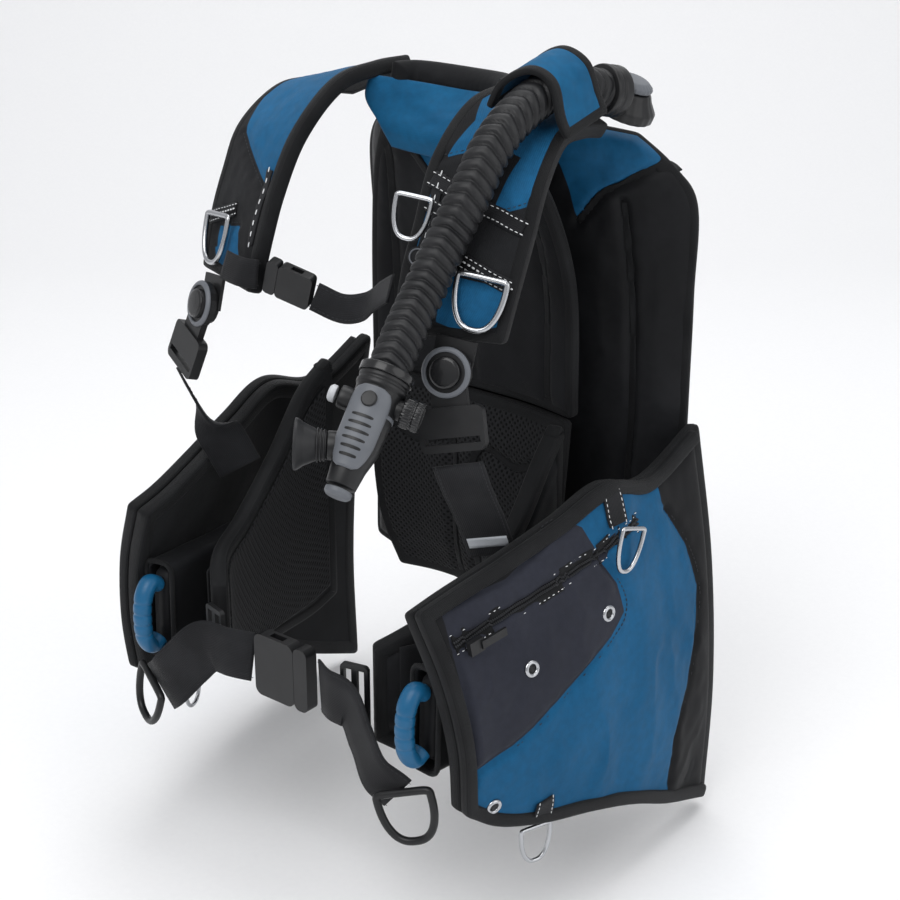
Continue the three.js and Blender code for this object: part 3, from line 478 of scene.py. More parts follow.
def distance(chart, path):
    """How far each chart point is from an open path, in metres."""
    p = chart.reshape(-1, 2)
    best = np.full(len(p), 1e9)
    line = np.asarray(path, float)
    for a, b in zip(line[:-1], line[1:]):
        e = b - a
        t = np.clip(((p - a) @ e) / max(e @ e, 1e-12), 0, 1)
        best = np.minimum(best, np.linalg.norm(p - a - t[:, None] * e, axis=1))
    return best.reshape(chart.shape[:2])


SEAM_PUCKER = 0.0006


def cushion(name, skin, inner, outer, material, rim=0.008, zones=None, seams=(), seam_depth=0.002,
            seam_width=0.005, wrinkle=0.0, wrinkle_size=0.05, wrinkle_axis=(1, 1, 1), seed=1, swell=0.0,
            inner_swell=0.0, node=None):
    """
    A closed soft piece between two heights over a sheet. Its rim is rounded, its seams are drawn in,
    and the cloth between them wrinkles. Returns the sheet of its outer face.
    """
    edge = skin.edge
    round_off = np.sqrt(np.clip(1 - (1 - np.clip(edge / rim, 0, 1)) ** 2, 0, 1))
    middle = (inner + outer) / 2
    rows, columns = edge.shape
    bulge = np.outer(np.sin(np.pi * np.linspace(0, 1, rows)), np.sin(np.pi * np.linspace(0, 1, columns)))
    top = middle + (outer - middle + swell * bulge) * round_off
    low = middle - (middle - inner + inner_swell * bulge) * round_off
    near_seam = np.zeros_like(edge)
    for path in seams:
        gap = distance(skin.chart, path)
        near_seam = np.maximum(near_seam, np.exp(-(gap / seam_width) ** 2))
        ripple = np.exp(-((gap - seam_width) / seam_width) ** 2)
        top = top + SEAM_PUCKER * ripple * noise(skin.grid, 0.007, seed + 5, 1)
    top = top - seam_depth * near_seam
    if wrinkle:
        folds = noise(skin.grid * np.array(wrinkle_axis, float), wrinkle_size, seed, 3)
        crisp = 1 - np.abs(folds) * 1.6
        top = top + wrinkle * (0.65 * crisp + 0.35 * noise(skin.grid, wrinkle_size * 0.35, seed + 9, 2)) \
            * (1 - near_seam) * np.clip(edge / 0.02, 0, 1)
    outside = skin.raised(top)
    within = skin.raised(low)
    count = rows * columns
    index = np.arange(count).reshape(rows, columns)
    within_rim = np.zeros((rows, columns), bool)
    within_rim[1:-1, 1:-1] = True
    lower = index.copy()
    lower[within_rim] = count + np.arange(np.sum(within_rim))
    points = np.concatenate([outside.grid.reshape(-1, 3), within.grid[within_rim]])
    faces = []
    for i in range(rows - 1):
        for j in range(columns - 1):
            faces.append((index[i, j], index[i + 1, j], index[i + 1, j + 1], index[i, j + 1]))
            faces.append((lower[i, j], lower[i, j + 1], lower[i + 1, j + 1], lower[i + 1, j]))
    cut = np.concatenate([skin.cut.reshape(-1, 2), skin.cut[within_rim]])
    numbers = {zone: np.concatenate([values.ravel(), np.full(np.sum(within_rim), -1.0)])
               for zone, values in (zones or {}).items()}
    piece = link(name, mesh_from(name, points, outward(points, faces), cut, numbers), material)
    if node:
        stand_in(piece, node)
    return outside


def swept(name, points, side, up, profile, material, body="vest", closed=False, run=None):
    """
    A closed section carried along a line. side and up are the section's two directions at each point,
    profile its points in those, and run how far along the cloth each point of the line is.
    """
    points, side, up = (np.asarray(a, float) for a in (points, side, up))
    section = np.asarray(profile, float)
    if section.ndim == 2:
        section = np.repeat(section[None], len(points), axis=0)
    made = points[:, None] + side[:, None] * section[..., :1] + up[:, None] * section[..., 1:2]
    faces = (ring_faces if closed else tube_faces)(*made.shape[:2])
    flat = made.reshape(-1, 3)
    cut = None
    if run is not None:
        cut = np.stack(np.broadcast_arrays(run[:, None], section[..., 0]), axis=2).reshape(-1, 2)
    return link(name, mesh_from(name, flat, outward(flat, faces), cut), material, body)


def strip_profile(width, thickness, bulge=0.5):
    """The section of a flat strap: straight faces and rounded edges."""
    w = width / 2
    t = thickness / 2
    half = [(-w, 0), (-w + t * bulge, t), (-w * 0.5, t), (0, t), (w * 0.5, t), (w - t * bulge, t)]
    return np.array(half + [(-x, -y) for x, y in half])


def circle(radius, sides):
    angle = np.linspace(0, 2 * np.pi, sides, endpoint=False)
    return np.stack([radius * np.cos(angle), radius * np.sin(angle)], axis=1)


def tangents(points, closed=False):
    if closed:
        return unit(np.roll(points, -1, axis=0) - np.roll(points, 1, axis=0))
    return unit(np.gradient(points, axis=0))


def strip(name, points, normals, width, thickness, material, body="vest", lift=0.0, closed=False):
    """A flat tape or strap along points, with its faces along normals."""
    along = tangents(points, closed)
    side = unit(np.cross(normals, along))
    up = unit(np.cross(along, side))
    points = points + up * lift
    return swept(name, points, side, up, strip_profile(width, thickness), material, body, closed,
                 travelled(points))


def stitches(name, points, normals, material, body="vest", length=0.0028, gap=0.0018, radius=0.00045):
    """A row of separate raised stitches along a line."""
    line = evenly(points, length + gap)
    which = np.linspace(0, len(points) - 1, len(line)).round().astype(int)
    up = np.asarray(normals)[which]
    along = tangents(line)
    side = unit(np.cross(up, along))
    verts = []
    faces = []
    for p, t, s, n in zip(line, along, side, up):
        start = len(verts)
        for end, size in ((-0.5, 0.5), (-0.25, 1), (0.25, 1), (0.5, 0.5)):
            centre = p + t * length * end
            for a in (0, 72, 144, 216, 288):
                ca, sa = math.cos(math.radians(a)), math.sin(math.radians(a))
                verts.append(centre + (s * ca + n * sa) * radius * size)
        for k in range(3):
            for a in range(5):
                b = (a + 1) % 5
                faces.append((start + 5 * k + a, start + 5 * k + b, start + 5 * k + 5 + b,
                              start + 5 * k + 5 + a))
        faces.append(tuple(start + a for a in reversed(range(5))))
        faces.append(tuple(start + 15 + a for a in range(5)))
    return link(name, mesh_from(name, verts, faces), material, body)


def turned(name, profile, centre, axis, material, body="vest", sides=40, ridges=0, ridge_depth=0.0):
    """A body turned about an axis from (radius, height) pairs that start and end on the axis or close."""
    axis = unit(np.asarray(axis, float))
    helper = np.array([0.0, 0.0, 1.0]) if abs(axis[2]) < 0.9 else np.array([1.0, 0.0, 0.0])
    x = unit(np.cross(helper, axis))
    y = np.cross(axis, x)
    angle = np.linspace(0, 2 * np.pi, sides, endpoint=False)
    wave = 1 + ridge_depth * np.cos(ridges * angle)
    ring = np.cos(angle)[:, None] * x + np.sin(angle)[:, None] * y
    points = np.concatenate([centre + axis * z + (r * wave)[:, None] * ring for r, z in profile])
    shut = profile[0][0] > 0 and profile[0] != profile[-1]
    faces = tube_faces(len(profile), sides) if shut else grid_faces(len(profile), sides, wrap=True)
    made = link(name, mesh_from(name, points, outward(points, faces)), material, body)
    weld = made.modifiers.new("weld", "WELD")
    weld.merge_threshold = 1e-6
    return made


def reflect(points, side):
    """Points on the wearer's left, or their mirror image on the right."""
    return np.asarray(points, float) * np.array([side, 1, 1])


SIDES = (("left", 1), ("right", -1))


def border_path(skin, edges):
    """Border points of a sheet and their normals, over some of its edges in order."""
    rows, columns = skin.grid.shape[:2]
    sides = {
        "start": [(0, j) for j in range(columns)],
        "right": [(i, columns - 1) for i in range(rows)],
        "end": [(rows - 1, j) for j in range(columns - 1, -1, -1)],
        "left": [(i, 0) for i in range(rows - 1, -1, -1)],
    }
    cells = []
    for name in edges:
        cells += [c for c in sides[name] if not cells or c != cells[-1]]
    if len(edges) == 4:
        cells = cells[:-1]
    return np.array([skin.grid[c] for c in cells]), np.array([skin.normal[c] for c in cells])


def binding(name, skin, edges=("start", "right", "end", "left"), width=0.012, thickness=0.006):
    """Folded tape over the rim of a soft piece."""
    points, normal = border_path(skin, edges)
    closed = len(edges) == 4
    for _ in range(3 if closed else 6):
        if closed:
            points = (np.roll(points, 1, axis=0) + 2 * points + np.roll(points, -1, axis=0)) / 4
            normal = unit(np.roll(normal, 1, axis=0) + 2 * normal + np.roll(normal, -1, axis=0))
        else:
            points[1:-1] = (points[:-2] + 2 * points[1:-1] + points[2:]) / 4
            normal[1:-1] = unit(normal[:-2] + 2 * normal[1:-1] + normal[2:])
    along = tangents(points, closed)
    side = unit(np.cross(normal, along))
    rows, columns = skin.edge.shape
    middle = skin.grid[rows // 2, columns // 2]
    side *= np.sign(np.sum(side * (middle - points), axis=1, keepdims=True))
    angle = np.linspace(0, 2 * np.pi, 14, endpoint=False)
    section = np.stack([
        width / 2 * np.sign(np.cos(angle)) * np.abs(np.cos(angle)) ** 0.6,
        thickness / 2 * np.sign(np.sin(angle)) * np.abs(np.sin(angle)) ** 0.5,
    ], axis=1)
    swept(name, points + side * (width / 2 - 0.002), side, unit(np.cross(side, along)), section, BINDING,
          closed=closed, run=np.arange(len(points)) * 0.004)


def tape_on(name, skin, path, width, thickness, material, lift=0.0005, stitch=None, bend=True):
    """A tape sewn on along a path of the sheet's chart, with a row of stitches near each edge."""
    points, normal = skin.trace(path, 0.003, bend)
    strip(name, points, normal, width, thickness, material, lift=lift)
    if stitch is not None:
        side = unit(np.cross(normal, tangents(points)))
        for k, offset in enumerate((-1, 1)):
            line = points + side * offset * (width / 2 - 0.0022) + normal * (lift + thickness / 2)
            stitches(f"{name}_stitch_{k}", line, normal, stitch)


def seam_stitches(name, skin, path, material, offset=0.003):
    """One row of stitches beside a seam."""
    points, normal = skin.trace(path, 0.003)
    side = unit(np.cross(normal, tangents(points)))
    stitches(name, points + side * offset + normal * 0.0004, normal, material)


def d_outline(width, depth, wire):
    """The middle line of a D ring: a straight bar on the x axis and a bow to -y."""
    half = (width - wire) / 2
    corner = 0.3
    angle = np.linspace(0, 2 * np.pi, 96, endpoint=False)
    c, s = np.cos(angle), np.sin(angle)
    x = np.where(s > 0, half * np.sign(c) * np.abs(c) ** corner, half * np.sign(c) * np.abs(c) ** 0.8)
    y = np.where(s > 0, wire * np.abs(s) ** corner - wire, (depth - wire) * np.sign(s) * np.abs(s) ** 0.9
                 - wire)
    return np.stack([x, y], axis=1)


def frame_axes(normal, up):
    z = unit(np.asarray(normal, float))
    x = unit(np.cross(np.asarray(up, float), z))
    return x, np.cross(z, x), z


def d_ring(name, node, body, pivot, normal, up, width, depth, wire, material, side=1):
    """A D ring in place of its CAD node."""
    x, y, _ = frame_axes(normal, up)
    outline = d_outline(width, depth, wire)
    line = (pivot + outline[:, :1] * x + outline[:, 1:] * y) * np.array([side, 1, 1])
    face = unit(np.cross(line[20] - line[0], line[60] - line[0]))
    up = np.repeat(face[None], len(line), axis=0)
    ring = swept(name, line, unit(np.cross(tangents(line, True), face)), up, circle(wire / 2, 16), material,
                 body, closed=True)
    stand_in(ring, node)


# ---- The inflator hose: the cord, made first ----
HOSE_DIAMETER = 0.035
HOSE_ROUTE = mm((138, -104, 330), (135, -127, 335), (134, -152, 339), (134, -177, 338), (134, -202, 331),
                (133, -227, 318), (131, -246, 300), (130, -258, 283), (127, -269, 265), (122, -278, 246),
                (118, -291, 224), (115, -304, 202), (115, -320, 184), (117, -338, 165), (119, -356, 145))
HOSE_RIDGES = 37
HOSE_CHEVRON = 0.85                 # how far a ridge bends back at the sides, in pitches


def make_hose():
    line = curve(HOSE_ROUTE, 0.0011)
    along = tangents(line)
    front = np.array([0.42, -0.8, 0.42])
    side = unit(np.cross(along, front))
    up = np.cross(side, along)
    up *= np.sign(np.sum(up * front, axis=1, keepdims=True))
    sides = 56
    angle = np.linspace(0, 2 * np.pi, sides, endpoint=False)
    run = np.linspace(0, 1, len(line))[:, None] * HOSE_RIDGES
    fold = np.abs(np.angle(np.exp(1j * (angle - np.pi / 2))))[None, :] / np.pi
    phase = (run - HOSE_CHEVRON * 2 * np.minimum(fold, 1 - fold)) % 1
    ridge = np.clip(np.minimum(phase / 0.4, (1 - phase) / 0.16), 0, 1) ** 0.7
    ends = np.clip(np.minimum(run, HOSE_RIDGES - run) * 2, 0, 1)
    radius = HOSE_DIAMETER / 2 - 0.0036 * (1 - ridge) * ends - 0.0002
    made = line[:, None] + radius[..., None] * (np.cos(angle)[None, :, None] * side[:, None]
                                                + np.sin(angle)[None, :, None] * up[:, None])
    flat = made.reshape(-1, 3)
    mesh = mesh_from("inflator_hose_ribbed", flat, outward(flat, tube_faces(len(line), sides)))
    hose = link("inflator_hose_ribbed", mesh, RUBBER)
    stand_in(hose, "inflator_hose")
    return line, along


HOSE_LINE, HOSE_TANGENT = make_hose()

# ---- Shapes shared with the design ----
TORSO_HALF_WIDTH = 183
HIP_HALF_WIDTH = 235
SHOULDER_TOP = 330
HIP_BOTTOM = -350
LOBE_REACH = 400
STRAP_SPACING = 105
STRAP_WIDTH = 96
AIR_CELL_REAR = -30
AIR_CELL_THICKNESS = 44
BACK_PAD_THICKNESS = 26
WAIST_HEIGHT = -148
CELL_MIDDLE = AIR_CELL_REAR - AIR_CELL_THICKNESS / 2
PAD_MIDDLE = AIR_CELL_REAR - AIR_CELL_THICKNESS - 2 - BACK_PAD_THICKNESS / 2


def across_rows(stations, marks, point):
    """Rows of points: one row for each station and one point for each mark across it."""
    return [[point(station, mark) for mark in marks] for station in stations]


def loft_mm(rows, along, across):
    """A smooth grid through rows of points given in millimetres, in metres."""
    lines = np.array([smooth(row, across) for row in rows])
    return smooth(lines, along) * MM


# ---- Air cell ----
BACK_STATIONS = [
    (SHOULDER_TOP - 32, 20, TORSO_HALF_WIDTH - 53, 40), (SHOULDER_TOP - 54, 24, TORSO_HALF_WIDTH - 16, 26),
    (SHOULDER_TOP - 98, 4, TORSO_HALF_WIDTH, 10), (140, 0, TORSO_HALF_WIDTH, 0),
    (40, 0, TORSO_HALF_WIDTH, 0), (-60, 0, TORSO_HALF_WIDTH, 0), (-195, 0, TORSO_HALF_WIDTH + 2, 0)]
WRAP = 34


def air_cell_point(station, s):
    z, drop, half, lean = station
    return (s * half, CELL_MIDDLE - lean + (WRAP + 0.6 * lean) * s * s, z - drop * s * s)


def make_air_cell():
    rows = across_rows(BACK_STATIONS, (-1, -0.7, -0.35, 0, 0.35, 0.7, 1), air_cell_point)
    grid = loft_mm(rows, 150, 110)
    skin = Skin(grid, chart=np.stack([grid[..., 0], grid[..., 2]], axis=2))
    blue = np.full(grid.shape[:2], -1.0)
    for side in (1, -1):
        outline = mm((60, 330), (88, 203), (111, 233), (143, 251), (166, 262), (182, 268),
                     (182, 330)) * (side, 1)
        blue = np.maximum(blue, inside(skin.chart, outline))
    fold_lines = []
    for side in (1, -1):
        fold_lines.append(mm((128, 225), (136, 120), (138, 20), (132, -120), (128, -190)) * (side, 1))
        fold_lines.append(mm((88, 203), (111, 233), (143, 251), (182, 262)) * (side, 1))
    outer = cushion(
        "air_cell_shell", skin, -0.007, 0.007, CLOTH_SMOOTH, rim=0.03, zones={"blue": blue},
        seams=fold_lines,
        seam_depth=0.003, seam_width=0.004, wrinkle=0.0035, wrinkle_size=0.06, wrinkle_axis=(1, 1, 0.3),
        seed=11, swell=0.013, inner_swell=0.013, node="air_cell_back")
    binding("air_cell_rim", skin, width=0.016, thickness=0.009)
    for k, line in enumerate(fold_lines):
        tape_on(f"air_cell_seam_{k}", outer, line, 0.007, 0.0012, BINDING, lift=0.0016)


make_air_cell()

# ---- Back pad, lumbar pad and neck ----
HOLLOW = 10
BACK_PAD_STATIONS = [(SHOULDER_TOP - 46, 66, 42), (SHOULDER_TOP - 90, 92, 22), (160, 112, 4), (34, 116, 0)]
LUMBAR_STATIONS = [(28, 112, 4), (-50, 110, 10), (-120, 102, 8), (-168, 84, 2)]


def back_cushion(name, node, stations, swell, material, seams, seed, blue=None):
    rows = across_rows(stations, (-1, -0.55, 0, 0.55, 1),
                       lambda station, s: (s * station[1], PAD_MIDDLE - station[2] - HOLLOW * s ** 4,
                                           station[0]))
    grid = loft_mm(rows, 110, 110)
    skin = Skin(grid, chart=np.stack([grid[..., 0], grid[..., 2]], axis=2))
    half = BACK_PAD_THICKNESS / 2 * MM
    zones = {"blue": inside(skin.chart, blue)} if blue is not None else None
    outer = cushion(name, skin, -half, half - swell, material, rim=0.014, zones=zones, seams=seams,
                    seam_depth=0.004, seam_width=0.006, wrinkle=0.0012, wrinkle_size=0.05, seed=seed,
                    swell=swell, node=node)
    rim = Skin(skin.raised(np.full(skin.edge.shape, -0.001)).grid)
    binding(f"{name}_binding", rim, width=0.015, thickness=0.012)
    return outer


def back_pads():
    spine = mm((0, 205), (0, 50))
    cheeks = [mm((70 * side, 275), (86 * side, 180), (88 * side, 45)) for side in (1, -1)]
    neck = mm((-70, 300), (-44, 262), (-16, 222), (0, 210), (16, 222), (44, 262), (70, 300))
    upper = back_cushion("back_pad_cover", "back_pad", BACK_PAD_STATIONS, 0.006, TWILL, [spine] + cheeks,
                         21, neck)
    tape_on("neck_piping", upper, neck[1:-1], 0.008, 0.003, BINDING, lift=0.001)
    for k, line in enumerate(cheeks):
        tape_on(f"back_pad_seam_{k}", upper, line, 0.008, 0.0016, BINDING, lift=0.001)
    arches = [mm((-105 * side, -10), (-60 * side, -30), (-16 * side, -20), (-12 * side, -160))
              for side in (1, -1)]
    lower = back_cushion("lumbar_pad_cover", "lumbar_pad", LUMBAR_STATIONS, 0.008, AIR_MESH, arches, 22)
    for k, line in enumerate(arches):
        tape_on(f"lumbar_seam_{k}", lower, line, 0.007, 0.0014, BINDING, lift=0.0016)


back_pads()

COLLAR_HEIGHT = 28
COLLAR_HALF_WIDTH = 60


def make_collar():
    plan = [(-1, -134), (-0.84, -112), (0, -96), (0.84, -112), (1, -134)]
    rows = [[(s * COLLAR_HALF_WIDTH, y - 6 * t, SHOULDER_TOP - COLLAR_HEIGHT * t + 4 * s * s)
             for t in (0, 0.5, 1)]
            for s, y in plan]
    grid = loft_mm(rows, 110, 26)
    skin = Skin(grid, flip=Skin(grid).normal[55, 13][1] > 0)
    cushion("collar_roll", skin, -0.008, 0.008, CLOTH_BLACK, rim=0.013, wrinkle=0.0022, wrinkle_size=0.03,
            wrinkle_axis=(2, 1, 0.5), seed=31, swell=0.002, node="collar")
    lining = [[(-76, -148, 323), (-36, -121, 316), (0, -109, 312), (36, -121, 316), (76, -148, 323)],
              [(-76, -154, 304), (-36, -134, 297), (0, -128, 296), (36, -134, 297), (76, -154, 304)],
              [(-62, -151, 282), (-34, -148, 279), (0, -147, 278), (34, -148, 279), (62, -151, 282)],
              [(-52, -146, 262), (-30, -145, 260), (0, -144, 259), (30, -145, 260), (52, -146, 262)]]
    grid = loft_mm(lining, 80, 110)
    sheet_skin = Skin(grid, flip=Skin(grid).normal[40, 55][1] > 0)
    cushion("neck_lining", sheet_skin, -0.001, 0.003, CLOTH_BLUE, rim=0.004, wrinkle=0.004,
            wrinkle_size=0.05, wrinkle_axis=(0.45, 1, 1.3), seed=37, swell=0.001)


make_collar()

# ---- Side lobes and pockets ----
LOBE_STATIONS = [
    (-24, 24, HIP_BOTTOM, 195, HIP_HALF_WIDTH - 13), (-104, -4, HIP_BOTTOM + 32, 192, HIP_HALF_WIDTH - 11),
    (-168, 12, -287, 190, HIP_HALF_WIDTH - 13), (-222, -4, -270, 182, HIP_HALF_WIDTH - 19),
    (-285, -22, -256, 169, HIP_HALF_WIDTH - 30), (-338, -35, -238, 158, HIP_HALF_WIDTH - 42),
    (-LOBE_REACH + 28, -42, -216, 154, HIP_HALF_WIDTH - 47)]
LOBE_BELLY = 14
LOWER_DRAW = 18
LOBE_HALF = 0.006
POCKET_FLOOR = 0.008
POCKET_DEPTH = 0.0055


def lobe_rows():
    last = len(LOBE_STATIONS) - 1
    return [[(xt + (xb - xt) * s + LOBE_BELLY * math.sin(math.pi * s), y + LOWER_DRAW * s * i / last,
              top + (bottom - top) * s) for s in (0, 0.33, 0.67, 1)]
            for i, (y, top, bottom, xt, xb) in enumerate(LOBE_STATIONS)]


LOBE_GRID = loft_mm(lobe_rows(), 180, 120)

# Panels of the pocket, as distance forward and height in millimetres.
BLUE_TOP = mm((-221, 12), (-222, -2), (-204, -14), (-196, -36), (-168, -27), (-140, -26), (-125, -36),
              (-60, -30), (-20, 60), (-230, 60))
BLUE_SWEEP = mm((-92, -30), (-125, -33), (-166, -25), (-191, -48), (-178, -70), (-174, -96), (-192, -112),
                (-241, -138), (-284, -161), (-306, -170), (-345, -178), (-360, -188), (-380, -260),
                (-200, -300), (-96, -330), (-95, -246), (-74, -209), (-58, -157), (-52, -119), (-64, -75),
                (-84, -42))
BLACK_WING = mm((-100, 60), (-94, -28), (-84, -42), (-64, -75), (-52, -119), (-58, -157), (-74, -209),
                (-95, -246), (-104, -340), (0, -380), (10, 60))
BLACK_YOKE = mm((-380, -34), (-371, -40), (-331, -42), (-284, -37), (-256, -24), (-236, -8), (-226, 20),
                (-380, 20))
ZIP_LINE = mm((-349, -73), (-321, -68), (-267, -57), (-203, -42), (-167, -33), (-140, -30))
LOWER_SEAM = mm((-191, -50), (-178, -70), (-174, -96), (-192, -112), (-241, -138), (-284, -161),
                (-306, -170), (-345, -178), (-357, -186))
YOKE_SEAM = mm((-370, -41), (-331, -42), (-284, -37), (-256, -24), (-236, -8), (-228, 2))
FRONT_SEAM = mm((-352, -80), (-350, -140), (-350, -188))
REAR_SEAM = mm((-88, -36), (-64, -75), (-52, -119), (-58, -157), (-74, -209), (-95, -246), (-100, -300))
GROMMETS = mm((-283, -110), (-193, -91), (-327, -218))


def mirrored_skin(grid, side):
    """A sheet facing away from the wearer on either side, with distance forward and height as its chart."""
    moved = grid * np.array([side, 1, 1])
    made = Skin(moved, chart=np.stack([moved[..., 1], moved[..., 2]], axis=2))
    middle = tuple(n // 2 for n in made.edge.shape)
    if made.normal[middle][0] * side < 0:
        made.normal = -made.normal
    return made


def make_lobe(label, side):
    skin = mirrored_skin(LOBE_GRID, side)
    blue = inside(skin.chart, BLUE_SWEEP)
    cushion(f"lobe_shell_{label}", skin, -LOBE_HALF, LOBE_HALF, CLOTH_BLACK, rim=0.01, zones={"blue": blue},
            wrinkle=0.0025, wrinkle_size=0.07, wrinkle_axis=(1, 1, 0.45), seed=41, node=f"lobe_{label}")
    binding(f"lobe_rim_{label}", skin, width=0.017, thickness=0.014)


def grommet(name, skin, spot):
    """A pressed metal eyelet, with a dark disc in its hole as painted shade."""
    point, normal = skin.find(spot)
    turned(name, [(0.0035, -0.001), (0.0042, 0.0012), (0.0052, 0.0019), (0.0066, 0.0017), (0.0075, 0.0004),
                  (0.0075, -0.001), (0.0035, -0.001)], point, normal, STEEL)
    # A dark rubber disc fills the eyelet's hole as painted shade.
    turned(f"{name}_hole_shade", [(0, -0.0006), (0.004, -0.0006), (0.004, 0.0004), (0, 0.0004)], point, normal,
           RUBBER, sides=24)


def make_pocket(label, side):
    grid = LOBE_GRID[4:]
    skin = mirrored_skin(grid, side)
    chart = skin.chart
    blue = np.maximum(inside(chart, BLUE_SWEEP), inside(chart, BLUE_TOP))
    black = np.maximum(inside(chart, BLACK_YOKE), inside(chart, BLACK_WING))
    black = np.maximum(black, np.where(chart[..., 1] > -0.2, -0.352 - chart[..., 0], -1))
    rise = np.clip((np.linspace(0, 1, len(grid)) - 0.03) / 0.3, 0, 1)[:, None] * np.ones(grid.shape[1])
    rise = rise * rise * (3 - 2 * rise)
    floor = LOBE_HALF + 0.0002 + rise * (POCKET_FLOOR - LOBE_HALF)
    seams = [ZIP_LINE, LOWER_SEAM, YOKE_SEAM, FRONT_SEAM, REAR_SEAM]
    outer = cushion(
        f"pocket_panel_{label}", skin, floor, floor + 0.0025 + rise * (POCKET_DEPTH - 0.0025),
        CLOTH_CHARCOAL,
        rim=0.012, zones={"blue": blue, "black": black}, seams=seams, seam_depth=0.0022, seam_width=0.004,
        wrinkle=0.0038, wrinkle_size=0.075, wrinkle_axis=(1, 1.25, 0.7), seed=43, swell=0.004,
        node=f"pocket_{label}")
    binding(f"pocket_rim_{label}", skin.raised(floor + 0.001 + rise * 0.003), ("right", "end", "left"),
            width=0.013, thickness=0.011)
    tape_on(f"zip_tape_{label}", outer, ZIP_LINE, 0.02, 0.0016, BINDING, lift=0.0014)
    points, normal = outer.trace(ZIP_LINE, 0.0016)
    across = unit(np.cross(normal, tangents(points)))
    for k in range(2):
        offset = (k - 0.5) * 0.0034
        stitches(f"zip_teeth_{label}_{k}", points + across * offset + normal * 0.0032, across, THREAD_DARK,
                 length=0.0011, gap=0.0009, radius=0.0013)
    for k, offset in enumerate((-0.0082, 0.0082)):
        stitches(f"zip_stitch_{label}_{k}", points + across * offset + normal * 0.0024, normal,
                 THREAD_WHITE, length=0.0022, gap=0.0032, radius=0.00035)
    for k, (path, offset) in enumerate(((LOWER_SEAM, 0.003), (YOKE_SEAM, 0.003), (FRONT_SEAM, 0.004),
                                        (FRONT_SEAM, -0.004), (REAR_SEAM, 0.003))):
        seam_stitches(f"pocket_stitch_{label}_{k}", outer, path, THREAD_DARK, offset)
    for k, spot in enumerate(GROMMETS):
        grommet(f"grommet_{label}_{k}", outer, spot)
    for name, path in (("pocket_ring_keeper", mm((-168, 6), (-168, -22))),
                       ("hip_ring_keeper", mm((-274, -232), (-274, -252)))):
        tape_on(f"{name}_{label}", outer, path, 0.022, 0.002, WEBBING, lift=0.0016, stitch=THREAD_WHITE,
                bend=False)


for label, side in SIDES:
    make_lobe(label, side)
    make_pocket(label, side)


# ---- Waistband ----
BAND_STATIONS = [(-150, 46, -198, 134), (-178, 24, -210, 138), (-222, -30, -214, 138),
                 (-276, -74, -212, 130), (-320, -88, -206, 113), (-343, -104, -190, 92)]
BAND_HALF = 0.007


def make_waistband(label, side):
    rows = [[(x, y, top + (bottom - top) * s) for s in (0, 0.5, 1)] for y, top, bottom, x in BAND_STATIONS]
    grid = loft_mm(rows, 90, 90)
    skin = mirrored_skin(grid, side)
    ribs = [mm((-165, 20), (-240, -60), (-332, -104)), mm((-165, -186), (-240, -196), (-332, -182))]
    cushion(f"waistband_{label}", skin, -BAND_HALF, BAND_HALF, CLOTH_SMOOTH, rim=0.009, seams=ribs,
            wrinkle=0.0016, wrinkle_size=0.06, seed=51, swell=0.001, inner_swell=0.001,
            node=f"cummerbund_{label}")
    binding(f"waistband_rim_{label}", skin, width=0.014, thickness=0.0165)
    facing = skin.raised(np.full(skin.edge.shape, -BAND_HALF - 0.0012))
    inner_grid = facing.grid[6:-6, 6:-6]
    lining = mirrored_skin(inner_grid * np.array([side, 1, 1]), side)
    cushion(f"waistband_lining_{label}", lining, -0.0018, 0.0008, AIR_MESH, rim=0.004, seed=52)
    tip, normal = skin.trace(mm((-316, -100), (-316, -198)), 0.004)
    strip(f"waistband_patch_{label}", tip + normal * 0.008, normal, 0.038, 0.002, TWILL)


# ---- Weight pouches ----
POUCH_FRONT = mm(157, -356, WAIST_HEIGHT + 4)
POUCH_REAR = mm(171, -185, WAIST_HEIGHT - 2)
POUCH_AXIS = unit(POUCH_FRONT - POUCH_REAR)
POUCH_WIDTH = 0.020
POUCH_HEIGHT = 0.084
POUCH_LENGTH = 0.170
SLEEVE_WALL = 0.003
SLEEVE_LENGTH = 0.176
SLEEVE_ROWS = 46
POUCH_GAP = 0.002
SECTION_STEP = 0.0035
HANDLE_BOW = mm((0, 27, 4), (0, 31, 13), (0, 22, 21), (0, 0, 24), (0, -22, 21), (0, -31, 13), (0, -27, 4))


def rounded_section(width, height, corner, steps=6):
    """Points round a rounded rectangle."""
    out = []
    for k, (sx, sy) in enumerate(((1, 1), (-1, 1), (-1, -1), (1, -1))):
        for a in np.linspace(k * np.pi / 2, (k + 1) * np.pi / 2, steps):
            out.append((sx * (width / 2 - corner) + corner * math.cos(a),
                        sy * (height / 2 - corner) + corner * math.sin(a)))
    return evenly(np.array(out + [out[0]]), SECTION_STEP)[:-1]


def stacked(front, axes, sections, depths):
    """Sections at depths along the pouch's axis, as one list of points."""
    x, y, z = axes
    return np.concatenate([front + section[:, :1] * x + section[:, 1:] * y + z * depth
                           for section, depth in zip(sections, depths)])


